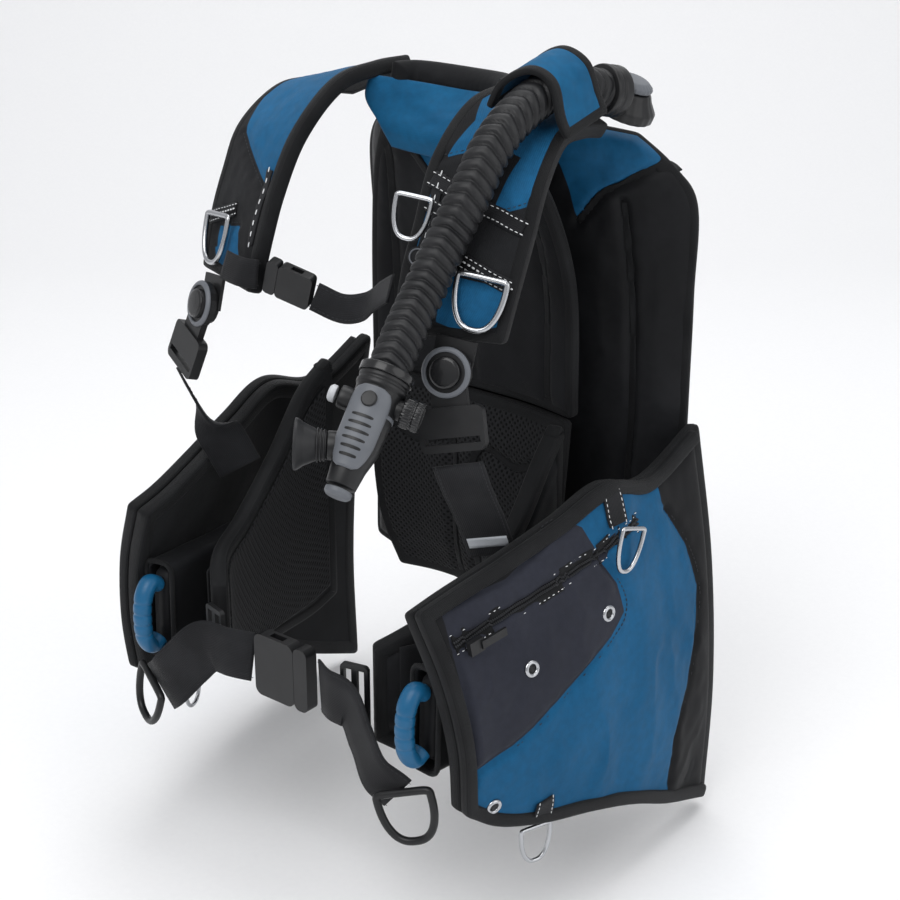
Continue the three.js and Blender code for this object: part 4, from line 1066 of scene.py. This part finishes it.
def make_sleeve(label, front, axes):
    """The open sleeve that is sewn inside the lobe."""
    x, y, _ = axes
    grow = 2 * (SLEEVE_WALL + POUCH_GAP)
    outer = rounded_section(POUCH_WIDTH + grow, POUCH_HEIGHT + grow, 0.008)
    inner = outer * (1 - 2 * SLEEVE_WALL / np.array([POUCH_WIDTH + 0.01, POUCH_HEIGHT + 0.01]))
    count = len(outer)
    depths = np.linspace(0, -SLEEVE_LENGTH, SLEEVE_ROWS)
    back = [min(depth, -0.0001) for depth in reversed(depths[:-1])]
    walls = stacked(front, axes, [outer] * SLEEVE_ROWS, depths)
    folds = 0.0009 * noise(walls * np.array([1.4, 1, 1]), 0.03, 61, 2)
    walls = walls + np.tile(unit(outer[:, :1] * x + outer[:, 1:] * y), (SLEEVE_ROWS, 1)) * folds[:, None]
    points = np.concatenate([walls, stacked(front, axes, [inner] * len(back), back)])
    run = np.concatenate([depths, back])
    faces = ring_faces(len(run), count)
    faces.append(tuple((SLEEVE_ROWS - 1) * count + j for j in range(count)))
    cut = np.stack([np.tile(np.arange(count) * SECTION_STEP, len(run)), np.repeat(run, count)], axis=1)
    sleeve = link(f"sleeve_{label}", mesh_from(f"sleeve_{label}", points, faces, cut), CLOTH_SMOOTH)
    stand_in(sleeve, f"weight_sleeve_{label}")
    lip = front + outer[:, :1] * x + outer[:, 1:] * y
    tube(f"sleeve_lip_{label}", lip, 0.0024, axes[2])


def tube(name, line, radius, facing):
    """A closed loop of round piping."""
    along = tangents(line, True)
    side = unit(np.cross(along, facing))
    swept(name, line, side, np.cross(along, side), circle(radius, 10), BINDING, closed=True)


def make_bag(label, front, axes, body):
    """The closed pouch that slides out of the sleeve."""
    section = rounded_section(POUCH_WIDTH, POUCH_HEIGHT, 0.007)
    share = np.linspace(0, 1, 40)
    taper = [math.sqrt(max(0.0, 1 - abs(2 * t - 1) ** 8)) * 0.25 + 0.75 for t in share]
    points = stacked(front, axes, [section * k for k in taper], -POUCH_GAP / 2 - POUCH_LENGTH * share)
    count = len(section)
    cut = np.stack([np.tile(np.arange(count) * SECTION_STEP, 40), np.repeat(share * POUCH_LENGTH, count)],
                   axis=1)
    mesh = mesh_from(f"pouch_{label}", points, outward(points, tube_faces(40, count)), cut)
    pouch = link(f"pouch_{label}", mesh, CLOTH_SMOOTH, body)
    stand_in(pouch, f"weight_pouch_{label}")


def make_pouch_handle(label, front, axes, body):
    """The ribbed pull handle on the pouch's front."""
    x, y, z = axes
    bow = curve(HANDLE_BOW, 0.0008)
    run = np.linspace(0, 1, len(bow))
    line = front + bow[:, :1] * x + bow[:, 1:2] * y + bow[:, 2:] * z
    angle = np.linspace(0, 2 * np.pi, 28, endpoint=False)
    groove = sum(np.exp(-((run - middle) / 0.016) ** 2) for middle in (0.34, 0.45, 0.56, 0.67))
    grip = 0.0075 * (1 - 0.1 * np.clip(groove, 0, 1))[:, None]
    section = np.stack([1.22 * grip * np.cos(angle), grip * np.sin(angle)], axis=2)
    side = np.repeat(x[None], len(line), axis=0)
    handle = swept(f"pouch_handle_{label}", line, side, np.cross(x, tangents(line)), section, PLASTIC_BLUE,
                   body)
    stand_in(handle, f"weight_handle_{label}")


def make_pouch(label, side):
    """The sleeve, the pouch in it and the handle on the pouch."""
    front = reflect(POUCH_FRONT, side)
    axes = frame_axes(reflect(POUCH_AXIS, side), (0, 0, 1))
    make_sleeve(label, front, axes)
    make_bag(label, front, axes, f"weight_{label}_body")
    make_pouch_handle(label, front, axes, f"weight_{label}_body")


# ---- Shoulder straps ----
STRAP_LINE = [(STRAP_SPACING, -100, SHOULDER_TOP - 19), (STRAP_SPACING + 4, -140, SHOULDER_TOP - 15),
              (STRAP_SPACING + 8, -185, SHOULDER_TOP - 18), (STRAP_SPACING + 14, -228, SHOULDER_TOP - 50),
              (STRAP_SPACING + 17, -250, 240), (STRAP_SPACING + 17, -266, 205),
              (STRAP_SPACING + 17, -281, 160)]
STRAP_SHARE = (0.8, 0.84, 0.92, 1, 1, 1, 0.94)
STRAP_HALF = 0.0065
SHOULDER_SLOPE = np.array([0.88, 0, -0.4])
CHEST_TURN = np.array([0.94, 0.33, 0])

# Panels of the strap, as points on the left strap's face.
STRAP_BLUE_NEAR = [
    mm((62, -90, 340), (73, -168, 333), (89, -207, 316), (84, -239, 291), (98, -232, 297),
       (108, -215, 303), (140, -214, 292), (135, -247, 253), (172, -222, 262), (178, -170, 300),
       (140, -90, 310)),
    mm((112, -276, 208), (152, -263, 204), (174, -254, 199), (170, -262, 172), (137, -280, 165),
       (112, -287, 172)),
    mm((86, -253, 273), (93, -256, 263), (89, -272, 236), (82, -288, 205), (78, -275, 235),
       (82, -263, 255)),
]
STRAP_BLUE_FAR = [
    mm((60, -90, 330), (70, -168, 333), (74, -247, 279), (77, -261, 260), (79, -274, 236),
       (115, -252, 255), (150, -229, 275), (178, -170, 300), (140, -90, 310)),
    mm((151, -265, 199), (117, -274, 207), (110, -284, 185), (145, -276, 172)),
    mm((145, -276, 172), (135, -280, 170), (100, -292, 172), (112, -284, 190), (150, -270, 180)),
]
STRAP_SEAMS_NEAR = [
    mm((84, -239, 291), (98, -232, 297), (110, -215, 304)),
    mm((132, -247, 254), (150, -236, 257), (168, -222, 262)),
    mm((112, -276, 207), (130, -270, 206), (152, -263, 204), (168, -256, 200)),
]
STRAP_SEAMS_FAR = [
    mm((79, -274, 236), (115, -252, 255), (150, -229, 275)),
    mm((151, -265, 199), (117, -274, 207)),
]


def flatten(skin, points):
    """The chart places of the grid points nearest to some points in space."""
    grid = skin.grid.reshape(-1, 3)
    chart = skin.chart.reshape(-1, 2)
    return np.array([chart[np.argmin(np.sum((grid - p) ** 2, axis=1))] for p in points])


def keeper(name, skin, run, start, end, width, lift=0.001):
    """Webbing sewn across a strap at a distance from its top, between two offsets from its middle."""
    tape_on(name, skin, np.array([[run, start], [run, end]]), width, 0.0018, WEBBING, lift, THREAD_WHITE,
            bend=False)


def make_strap(label, side):
    line = mm(*STRAP_LINE)
    width = np.array(STRAP_SHARE) * STRAP_WIDTH * MM
    across = np.array([unit(SHOULDER_SLOPE + (CHEST_TURN - SHOULDER_SLOPE) * min(1, i / 4))
                       for i in range(7)])
    edges = [smooth(line + across * (k * width / 2)[:, None], 170) for k in (-1, 1)]
    share = np.linspace(0, 1, 66)
    grid = edges[0][:, None] + (edges[1] - edges[0])[:, None] * share[None, :, None]
    skin = Skin(grid * np.array([side, 1, 1]))
    if skin.normal[20, 33][2] < 0:
        skin.normal = -skin.normal
    blue = np.full(skin.edge.shape, -1.0)
    for outline in STRAP_BLUE_NEAR if side > 0 else STRAP_BLUE_FAR:
        blue = np.maximum(blue, inside(skin.chart, flatten(skin, reflect(outline, side))))
    seam_paths = STRAP_SEAMS_NEAR if side > 0 else STRAP_SEAMS_FAR
    seams = [flatten(skin, reflect(path, side)) for path in seam_paths]
    outer = cushion(f"shoulder_strap_{label}_cover", skin, -STRAP_HALF, STRAP_HALF, TWILL,
                    zones={"blue": blue},
                    seams=seams, seam_depth=0.0016, wrinkle=0.0012, wrinkle_size=0.04, seed=71,
                    node=f"shoulder_strap_{label}")
    binding(f"strap_rim_{label}", skin, width=0.011, thickness=0.0145)
    for k, path in enumerate(seams):
        seam_stitches(f"strap_stitch_{label}_{k}", outer, path, THREAD_DARK, 0.003)
    half = 0.5 * STRAP_WIDTH * MM
    # The chart's second number grows towards the wearer's outer side, on either strap.
    chain_start = 0.16 if side > 0 else 0.185
    chain = np.array([[u, 0.0125 - half] for u in np.linspace(chain_start, 0.25, 12)])
    tape_on(f"daisy_chain_{label}", outer, chain, 0.009, 0.0016, WEBBING, lift=0.0008)
    points, normal = outer.trace(chain, 0.003)
    stitches(f"daisy_dash_{label}", points + normal * 0.0021, normal, THREAD_WHITE, length=0.0045,
             gap=0.0055, radius=0.0006)
    ring = flatten(skin, reflect(mm((146, -267, 213)), side))[0]
    keeper(f"ring_keeper_{label}", outer, ring[0], ring[1] - 0.02, half - 0.003, 0.013)
    keeper(f"ring_keeper_rib_{label}", outer, ring[0], ring[1] - 0.019, half - 0.004, 0.005, lift=0.0022)
    if side > 0:
        band, small, spot = flatten(skin, mm((107, -249, 266), (84, -274, 266), (88, -280, 218)))
        keeper("hose_keeper", outer, band[0], -half + 0.006, half - 0.006, 0.014)
        keeper("chest_ring_keeper", outer, small[0], -half + 0.008, -half + 0.034, 0.012)
        point, up = outer.find(spot)
        turned("round_patch_left", [(0, 0), (0.0085, 0), (0.0085, 0.0014), (0.0078, 0.0018), (0, 0.0018)],
               point, up, CLOTH_SMOOTH)
        turned("round_patch_ring_left", [(0.0058, 0.0015), (0.007, 0.0015), (0.007, 0.0024),
                                         (0.0058, 0.0024), (0.0058, 0.0015)], point, up, PLASTIC_GREY)


# ---- Webbing ----
def webbing(name, node, line, across, width, side=1, body="vest"):
    """A strap of webbing in place of its CAD node, through the same points."""
    thickness = 0.0022
    points = curve(reflect(mm(*line), side), 0.003)
    direction = np.asarray(across, float)
    if direction.ndim == 2:
        direction = smooth(direction, len(points) - 1)
    direction = reflect(np.broadcast_to(direction, points.shape), side)
    along = tangents(points)
    normal = unit(np.cross(along, direction))
    stand_in(strip(name, points, normal, width, thickness, WEBBING, body), node)
    side_way = unit(np.cross(normal, along))
    for k, offset in enumerate((-1, 1)):
        edge = points + side_way * offset * (width / 2 - 0.003) + normal * thickness / 2
        stitches(f"{name}_edge_{k}", edge, normal, THREAD_DARK, body, length=0.003, gap=0.0014,
                 radius=0.0003)
    return points, normal


def make_webbing():
    near_buckle = tuple(mm(44, -355, -154))
    far_from_buckle = tuple(mm(120, -381, -196))
    waist = [(40, -355, -154), (60, -366, -151), (84, -369, -152), (104, -376, -172), (124, -381, -196),
             (142, -374, -211)]
    loose = unit((0.42, -0.12, 0.9))
    for label, side in SIDES:
        webbing(f"waist_strap_{label}", f"waist_webbing_{label}", waist,
                [(0, 0, 1), (0, 0, 1), (0.1, 0, 1), loose, loose, loose], 0.049, side=side,
                body=("vest", "waist_prongs_body", far_from_buckle, near_buckle) if side > 0 else "vest")
        shoulder = [(156, -313, 68), (155, -300, 42), (151, -276, 4), (148, -256, -34)]
        flat = unit((0.86, 0.5, 0.1))
        turned_in = flat if side > 0 else unit((0.57, -0.69, -0.43))
        points, normal = webbing(f"shoulder_pull_{label}", f"shoulder_webbing_{label}", shoulder,
                                 [flat, flat, turned_in, turned_in], 0.042, side=side)
        strip(f"shoulder_pull_reflector_{label}", points[-9:-4] + normal[-9:-4] * 0.0014, normal[-9:-4],
              0.034, 0.0006, REFLECTIVE)
    webbing("chest_strap_left", "chest_webbing_left",
            [(-27, -278, 162), (-4, -270, 154), (20, -270, 160), (46, -279, 178), (70, -292, 192)],
            unit((0.2, 0.3, 0.93)), 0.025,
            body=("vest", "chest_socket_body", tuple(mm(40, -276, 170)), tuple(mm(-24, -277, 161))))
    webbing("chest_strap_right", "chest_webbing_right",
            [(-73, -298, 177), (-84, -304, 178), (-98, -302, 178), (-114, -297, 178)],
            unit((0.2, 0.3, 0.93)), 0.025)


def make_tank_band():
    half, front = 0.0731, -0.0161
    outline = [(-half + 0.004, front), (0, front), (half - 0.004, front)]
    outline += [(half * math.cos(a), 0.024 + 0.0531 * math.sin(a)) for a in np.linspace(0.0, math.pi, 24)]
    flat = np.array([(x, y, -0.1) for x, y in outline])
    points = evenly(np.concatenate([flat, flat[:1]]), 0.004)[:-1]
    for _ in range(3):
        points = (np.roll(points, 1, axis=0) + 2 * points + np.roll(points, -1, axis=0)) / 4
    normal = unit(np.cross(tangents(points, True), (0, 0, 1)))
    band = strip("tank_band_webbing", points, normal, 0.05, 0.0022, WEBBING, closed=True)
    stand_in(band, "tank_band")


def make_carry_handle():
    line = curve(mm((-58, -24, 198), (-46, -8, 226), (0, 4, 238), (46, -8, 226), (58, -24, 198)), 0.003)
    across = unit(np.array([0, 0.5, -0.86]))
    normal = unit(np.cross(tangents(line), np.broadcast_to(across, line.shape)))
    run = np.linspace(0, 1, len(line))
    grip = 1 + 0.12 * np.exp(-((run - 0.5) / 0.22) ** 4)
    profile = strip_profile(0.0235, 0.0085, 0.9)
    section = profile[None] * np.stack([np.ones(len(line)), grip], axis=1)[:, None]
    piece = swept("carry_handle_grip", line, np.broadcast_to(across, line.shape), normal, section, RUBBER)
    stand_in(piece, "carry_handle")


def make_flap():
    """The blue flap over the hose, with a bound wavy edge."""
    reach = 0.0235
    over = [(1.3, -1.0), (1.12, -0.3), (0.78, 0.7), (0, 1.08), (-0.78, 0.7), (-1.15, -0.1)]
    line = np.array([(0.134 + s * reach, -0.160 - 0.005 * i, 0.339 + r * reach)
                     for i, (s, r) in enumerate(over)])
    middle = smooth(line, 90)
    across = unit(np.array([0, -0.97, -0.22]))
    share = np.linspace(-1, 1, 56)
    run = np.linspace(0, 1, len(middle))
    front = 0.026 + 0.0035 * np.sin(2 * np.pi * run * 1.3 + 0.6)
    offset = np.where(share[None] > 0, share[None] * front[:, None], share[None] * 0.025)
    grid = middle[:, None] + offset[..., None] * across
    skin = Skin(grid, flip=Skin(grid).normal[45, 28][2] < 0)
    cushion("hose_flap_cover", skin, -0.002, 0.002, CLOTH_BLUE, rim=0.003, wrinkle=0.001, wrinkle_size=0.03,
            seed=81, swell=0.0008, node="hose_flap")
    binding("hose_flap_binding", skin, width=0.009, thickness=0.0058)


for label, side in SIDES:
    make_waistband(label, side)
    make_pouch(label, side)

for label, side in SIDES:
    make_strap(label, side)

make_webbing()
make_tank_band()
make_carry_handle()
make_flap()


# ---- Rings ----
def make_rings():
    for label, side in SIDES:
        d_ring(f"shoulder_ring_{label}", f"shoulder_d_ring_{label}", f"shoulder_ring_{label}_body",
               mm(146.5, -269.9, 210.6), (0.33, -0.9, 0.28), (0, 0.36, 0.93), 0.046, 0.042, 0.005, STEEL,
               side)
        d_ring(f"pocket_ring_{label}", f"pocket_d_ring_{label}", f"pocket_ring_{label}_body",
               mm(230, -168, -18), (1, -0.1, 0), (0, 0.3, 0.95), 0.034, 0.038, 0.004, STEEL, side)
        d_ring(f"hip_ring_{label}", f"hip_d_ring_{label}", f"hip_ring_{label}_body",
               mm(211, -274, -266), (0.9, -0.3, 0), (0, 0, 1), 0.034, 0.034, 0.004, STEEL, side)
        d_ring(f"belt_ring_{label}", f"pull_ring_{label}", f"pull_ring_hinge_{label}_body",
               mm(150, -378, -205), (0.35, -0.93, 0.1), (-0.35, 0.1, 0.93), 0.056, 0.044, 0.007, PLASTIC,
               side)
    d_ring("chest_ring", "chest_d_ring", "chest_ring_body", mm(83.5, -276.9, 266.6), (0.33, -0.9, 0.28),
           (0, 0.36, 0.93), 0.034, 0.034, 0.004, STEEL)


make_rings()


# ---- CAD parts that stay, dressed ----
def dress(names, material, bevel):
    """Keeps hard parts as designed, with small round edges and a new surface."""
    for name in names:
        node = NODES[name]
        node.data.materials.clear()
        node.data.materials.append(material)
        rounder = node.modifiers.new("edges", "BEVEL")
        rounder.width = bevel
        rounder.segments = 3
        rounder.limit_method = "ANGLE"
        rounder.angle_limit = math.radians(32)
        weighted = node.modifiers.new("shading", "WEIGHTED_NORMAL")
        weighted.keep_sharp = True
        node.data.polygons.foreach_set("use_smooth", [True] * len(node.data.polygons))


dress(["backpack_plate"], PLASTIC, 0.0015)
dress(["tank_pad"], RUBBER, 0.0006)
dress(["cam_buckle", "cam_lever"], PLASTIC, 0.001)
dress(["waist_buckle_socket", "waist_buckle_prongs"], PLASTIC, 0.0009)
dress(["chest_buckle_socket", "chest_buckle_prongs"], PLASTIC, 0.0007)
for label, _ in SIDES:
    dress([f"strap_glide_{label}", f"swivel_base_{label}", f"swivel_buckle_{label}"], PLASTIC, 0.0008)
    dress([f"zip_slider_{label}"], PLASTIC, 0.0004)


# ---- Inflator ----
BODY_LENGTH = 92
BUTTON_HEIGHT = -26
MOUTH_HEIGHT = -62
BUTTON_TRAVEL = 2.6
MOUTH_TILT = 1.9                    # angle of the mouthpiece from the barrel's axis, in radians
INFLATOR_UP = -HOSE_TANGENT[-1]
INFLATOR_Y = unit(np.cross(INFLATOR_UP, (-0.76, -0.65, 0)))
INFLATOR_X = np.cross(INFLATOR_Y, INFLATOR_UP)
INFLATOR_ORIGIN = HOSE_LINE[-1]


def on_inflator(x, y, z):
    """A place in the inflator's own frame, in millimetres."""
    return INFLATOR_ORIGIN + MM * (x * INFLATOR_X + y * INFLATOR_Y + z * INFLATOR_UP)


def toward(angle):
    """The direction at an angle from the barrel's axis towards the mouthpiece."""
    return math.sin(angle) * INFLATOR_X + math.cos(angle) * INFLATOR_UP


def rounded(profile, corner=0.8):
    """The profile, in metres, with each corner cut by a small round."""
    p = [np.array(q, float) for q in profile]
    out = [p[0]]
    for before, here, after in zip(p[:-2], p[1:-1], p[2:]):
        to_last = before - here
        to_next = after - here
        back = min(corner, 0.4 * np.linalg.norm(to_last))
        ahead = min(corner, 0.4 * np.linalg.norm(to_next))
        start = here + unit(to_last) * back
        end = here + unit(to_next) * ahead
        out += [start, (start + end) / 4 + here / 2, end]
    out.append(p[-1])
    return [(float(r) * MM, float(z) * MM) for r, z in out]


def make_inflator():
    barrel = [(0, -BODY_LENGTH), (12, -BODY_LENGTH), (14, -76), (18, -60), (18.3, -34), (19, -12),
              (20.5, -10), (20.5, -7), (19.6, -6.5), (19.6, -4.5), (20.5, -4), (20.5, -0.5), (0, -0.5)]
    body = turned("inflator_barrel", rounded(barrel), on_inflator(0, 0, -0.4), INFLATOR_UP, PLASTIC,
                  sides=72)
    stand_in(body, "inflator_body")
    turned("inflator_button_barrel", rounded([(0, 12), (9, 12), (9.4, 24), (8.8, 27.5), (0, 27.5)]),
           on_inflator(0, 0, BUTTON_HEIGHT), INFLATOR_X, PLASTIC, sides=48)
    turned("inflator_inlet", rounded([(0, 12), (8.2, 12), (8.2, 29.5), (0, 29.5)]),
           on_inflator(0, 0, BUTTON_HEIGHT + 6), -INFLATOR_X, PLASTIC, sides=48)
    turned("inflator_clamp", rounded([(20.4, -3), (22, -3), (22, 4), (18, 6), (18, -3), (20.4, -3)]),
           on_inflator(0, 0, 2), INFLATOR_UP, PLASTIC_GLOSS, sides=64)
    turned("inflator_band", rounded([(18.2, -33), (18.9, -33), (18.9, -30), (18.2, -30), (18.2, -33)], 0.3),
           on_inflator(0, 0, 0), INFLATOR_UP, PLASTIC_GREY, sides=64)

    mouth = turned("mouth_bell", rounded([(6, 12.4), (11, 12.4), (12, 20), (16.5, 30), (20, 35),
                                          (20.4, 37.4),
                                          (17, 37.2), (12.5, 31), (8, 23), (6, 18), (6, 12.4)]),
                   on_inflator(10, 0, MOUTH_HEIGHT), toward(MOUTH_TILT), RUBBER, sides=64)
    stand_in(mouth, "mouthpiece")
    turned("mouth_neck", rounded([(0, 0), (11.4, 0), (11.4, 12), (0, 12)]), on_inflator(10, 0,
                                                                                        MOUTH_HEIGHT),
           toward(MOUTH_TILT), PLASTIC, sides=48)
    for k in range(3):
        turned(f"mouth_rib_{k}", rounded([(10.6 + 0.5 * k, 13.6 + 2.6 * k), (12.4 + 0.5 * k, 13.8 + 2.6
                                                                             * k),
                                          (12.4 + 0.5 * k, 15 + 2.6 * k), (10.8 + 0.5 * k, 15.2 + 2.6 * k),
                                          (10.6 + 0.5 * k, 13.6 + 2.6 * k)], 0.4),
               on_inflator(10, 0, MOUTH_HEIGHT), toward(MOUTH_TILT), RUBBER, sides=56)

    start = 28 + BUTTON_TRAVEL
    button = turned("inflate_button_cap", rounded([(0, start), (7, start), (7, start + 4), (5, start + 6),
                                                   (0, start + 6.2)]),
                    on_inflator(0, 0, BUTTON_HEIGHT), INFLATOR_X, PLASTIC_SILVER, "inflate_button_body",
                    sides=48)
    stand_in(button, "inflate_button")
    low = -BODY_LENGTH - 0.4 - BUTTON_TRAVEL
    vent = turned("deflate_button_cap", rounded([(0, low - 6.4), (8.6, low - 6.2), (11, low - 4), (11, low),
                                                 (0, low)]),
                  on_inflator(0, 0, 0), INFLATOR_UP, PLASTIC_GREY, "deflate_button_body", sides=56)
    stand_in(vent, "deflate_button")
    knurl = turned("quick_connect_sleeve", rounded([(8.6, 22), (11.4, 22), (12, 24), (12, 29), (11, 30),
                                                    (11, 31.5),
                                                    (12, 32.5), (12, 36), (11.2, 38), (8.6, 38), (8.6, 22)],
                                                   0.5),
                   on_inflator(0, 0, BUTTON_HEIGHT + 6), -INFLATOR_X, PLASTIC_GLOSS, "quick_connect_body",
                   sides=144, ridges=28, ridge_depth=0.022)
    stand_in(knurl, "quick_connect")


def make_cover_plate():
    """The grey slotted plate on the front of the inflator's barrel."""
    front = unit(np.array([0.35, -0.9, 0.1]))
    front = unit(front - np.dot(front, INFLATOR_UP) * INFLATOR_UP)
    middle = math.atan2(np.dot(front, INFLATOR_Y), np.dot(front, INFLATOR_X))

    def patch(name, low, high, spread, lift, material, thick=1.6):
        rows = 30
        columns = 26
        points = []
        for layer in (lift, lift - thick):
            for i in range(rows):
                t = i / (rows - 1)
                z = low + (high - low) * t
                base = np.interp(z, [-92, -76, -60, -34, -12], [12, 14, 18, 18.3, 19])
                end = math.sqrt(max(0.0, 1 - abs(2 * t - 1) ** 5)) * 0.55 + 0.45
                for j in range(columns):
                    a = middle + spread * end * (2 * j / (columns - 1) - 1)
                    radius = base + layer - 0.9 * abs(2 * j / (columns - 1) - 1) ** 6
                    points.append(on_inflator(radius * math.cos(a), radius * math.sin(a), z))
        count = rows * columns
        faces = grid_faces(rows, columns)
        faces += [tuple(reversed(f)) for f in grid_faces(rows, columns, count)]
        ring = [(0, j) for j in range(columns)] + [(i, columns - 1) for i in range(1, rows)]
        ring += [(rows - 1, j) for j in range(columns - 2, -1, -1)] + [(i, 0) for i in range(rows - 2, 0,
                                                                                             -1)]
        ring = [i * columns + j for i, j in ring]
        for a, b in zip(ring, ring[1:] + ring[:1]):
            faces.append((a, b, b + count, a + count))
        link(name, mesh_from(name, points, outward(points, faces)), material)

    patch("cover_plate", -80, -14, 0.95, 2.6, PLASTIC_GREY, 2.4)
    for k in range(6):
        z = -72 + 6.4 * k
        patch(f"cover_slot_{k}", z, z + 2.4, 0.6 - 0.04 * abs(k - 3), 2.9, PLASTIC, 1.0)
    badge = on_inflator(0, 0, -25) + front * 0.0205
    turned("cover_badge", rounded([(0, 0), (6.4, 0), (6.4, 1.2), (5.6, 2), (0, 2)], 0.4), badge, front,
           PLASTIC, sides=48)


make_inflator()
make_cover_plate()

# ---- Shoulder elbow and dump valve ----
DUMP_CENTRE = mm(139, -66, 315)
DUMP_AXIS = unit(np.array([0.35, 0.1, 0.93]))


def make_elbow():
    throat = turned("elbow_throat", rounded([(0, 0), (21, 0), (21.6, 2), (21.6, 6), (20.6, 7), (20.6, 9.5),
                                             (21.6, 10.5), (21.6, 18), (19, 21), (0, 21)]),
                    HOSE_LINE[0], -HOSE_TANGENT[0], PLASTIC, sides=72)
    stand_in(throat, "shoulder_elbow")
    turned("elbow_dome", rounded([(0, -12), (25, -12), (27, -10), (27, -3), (20, 6), (17.4, 11.6),
                                  (0, 11.8)], 1.6),
           DUMP_CENTRE, DUMP_AXIS, PLASTIC, sides=80, ridges=20, ridge_depth=0.012)
    cap = turned("dump_valve_cap", rounded([(0, 12.4), (16, 12.4), (17, 13.6), (17, 16.6), (12, 20.2),
                                            (0, 20.5)], 0.9),
                 DUMP_CENTRE, DUMP_AXIS, PLASTIC_GREY, "dump_cap_body", sides=96, ridges=24,
                 ridge_depth=0.02)
    stand_in(cap, "dump_cap")


make_elbow()

# ---- Swivel buckles ----
SWIVEL_CENTRE = mm(STRAP_SPACING + 31, -300, 138)
STRAP_FACE = unit(np.array([0.33, -0.9, 0.28]))


def make_swivel_details(label, side):
    """The ring and the domed cap on the turning body."""
    centre = reflect(SWIVEL_CENTRE, side)
    axis = reflect(STRAP_FACE, side)
    body = f"swivel_{label}_body"
    turned(f"swivel_rim_{label}", rounded([(16.2, 5.5), (20.4, 5.5), (20.4, 7), (18.6, 8.8), (16.2, 8.8),
                                           (16.2, 5.5)],
                                          0.6), centre, axis, PLASTIC_GREY, body, sides=72)
    turned(f"swivel_cap_{label}", rounded([(0, 10), (12.6, 10), (12.6, 11), (10.6, 12), (0, 12.3)], 0.5),
           centre, axis, PLASTIC_GLOSS, body, sides=64)


for label, side in SIDES:
    make_swivel_details(label, side)


# ---- Floor, backdrop and light ----
def make_floor():
    """A pale floor that curves up into the backdrop behind the vest."""
    near, far, bend, wall, half_width, clearance = -3.2, 1.6, 1.2, 4.5, 5.0, 0.012
    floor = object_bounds()[0][2] - clearance
    angle = np.linspace(0, math.pi / 2, 24)
    profile = [(far + bend * math.sin(a), floor + bend * (1 - math.cos(a))) for a in angle]
    profile = [(near, floor)] + profile + [(far + bend, floor + wall)]
    away = np.array([-math.sin(CAMERA_AZIMUTH), math.cos(CAMERA_AZIMUTH), 0])
    side = np.array([math.cos(CAMERA_AZIMUTH), math.sin(CAMERA_AZIMUTH), 0])
    points = []
    for run, height in profile:
        for reach in (-half_width, half_width):
            points.append(away * run + side * reach + np.array([0, 0, height]))
    faces = [(2 * i, 2 * i + 1, 2 * i + 3, 2 * i + 2) for i in range(len(profile) - 1)]
    mesh = bpy.data.meshes.new("backdrop")
    mesh.from_pydata([tuple(p) for p in points], [], faces)
    mesh.polygons.foreach_set("use_smooth", [True] * len(mesh.polygons))
    paper = Shade("backdrop_paper")
    tone = paper.mix(paper.noise(180, 4), (0.86, 0.86, 0.87), (0.9, 0.9, 0.905))
    backdrop = bpy.data.objects.new("backdrop", mesh)
    mesh.materials.append(paper.finish({"Base Color": tone, "Roughness": 0.9}))
    bpy.context.scene.collection.objects.link(backdrop)


def make_light(name, azimuth, elevation, reach, size, power, colour=(1, 1, 1)):
    """A soft square lamp aimed at the middle of the vest."""
    data = bpy.data.lights.new(name, "AREA")
    data.energy = power
    data.size = size
    data.color = colour
    lamp = bpy.data.objects.new(name, data)
    a, e = math.radians(azimuth), math.radians(elevation)
    back = Vector((math.sin(a) * math.cos(e), -math.cos(a) * math.cos(e), math.sin(e)))
    lamp.location = CAMERA_AIM + reach * back
    lamp.rotation_euler = back.to_track_quat("Z", "Y").to_euler()
    bpy.context.scene.collection.objects.link(lamp)


def make_world():
    world = bpy.data.worlds.new("studio")
    world.use_nodes = True
    sky = world.node_tree.nodes["Background"]
    sky.inputs["Color"].default_value = (0.93, 0.94, 0.96, 1)
    sky.inputs["Strength"].default_value = 0.62
    bpy.context.scene.world = world
    bpy.context.scene.view_settings.view_transform = "Standard"


make_floor()
make_light("key", 5, 48, 2.6, 1.8, 36)
make_light("fill", 95, 25, 2.8, 2.2, 20)
make_light("top", 200, 70, 2.6, 2.0, 30)
make_world()
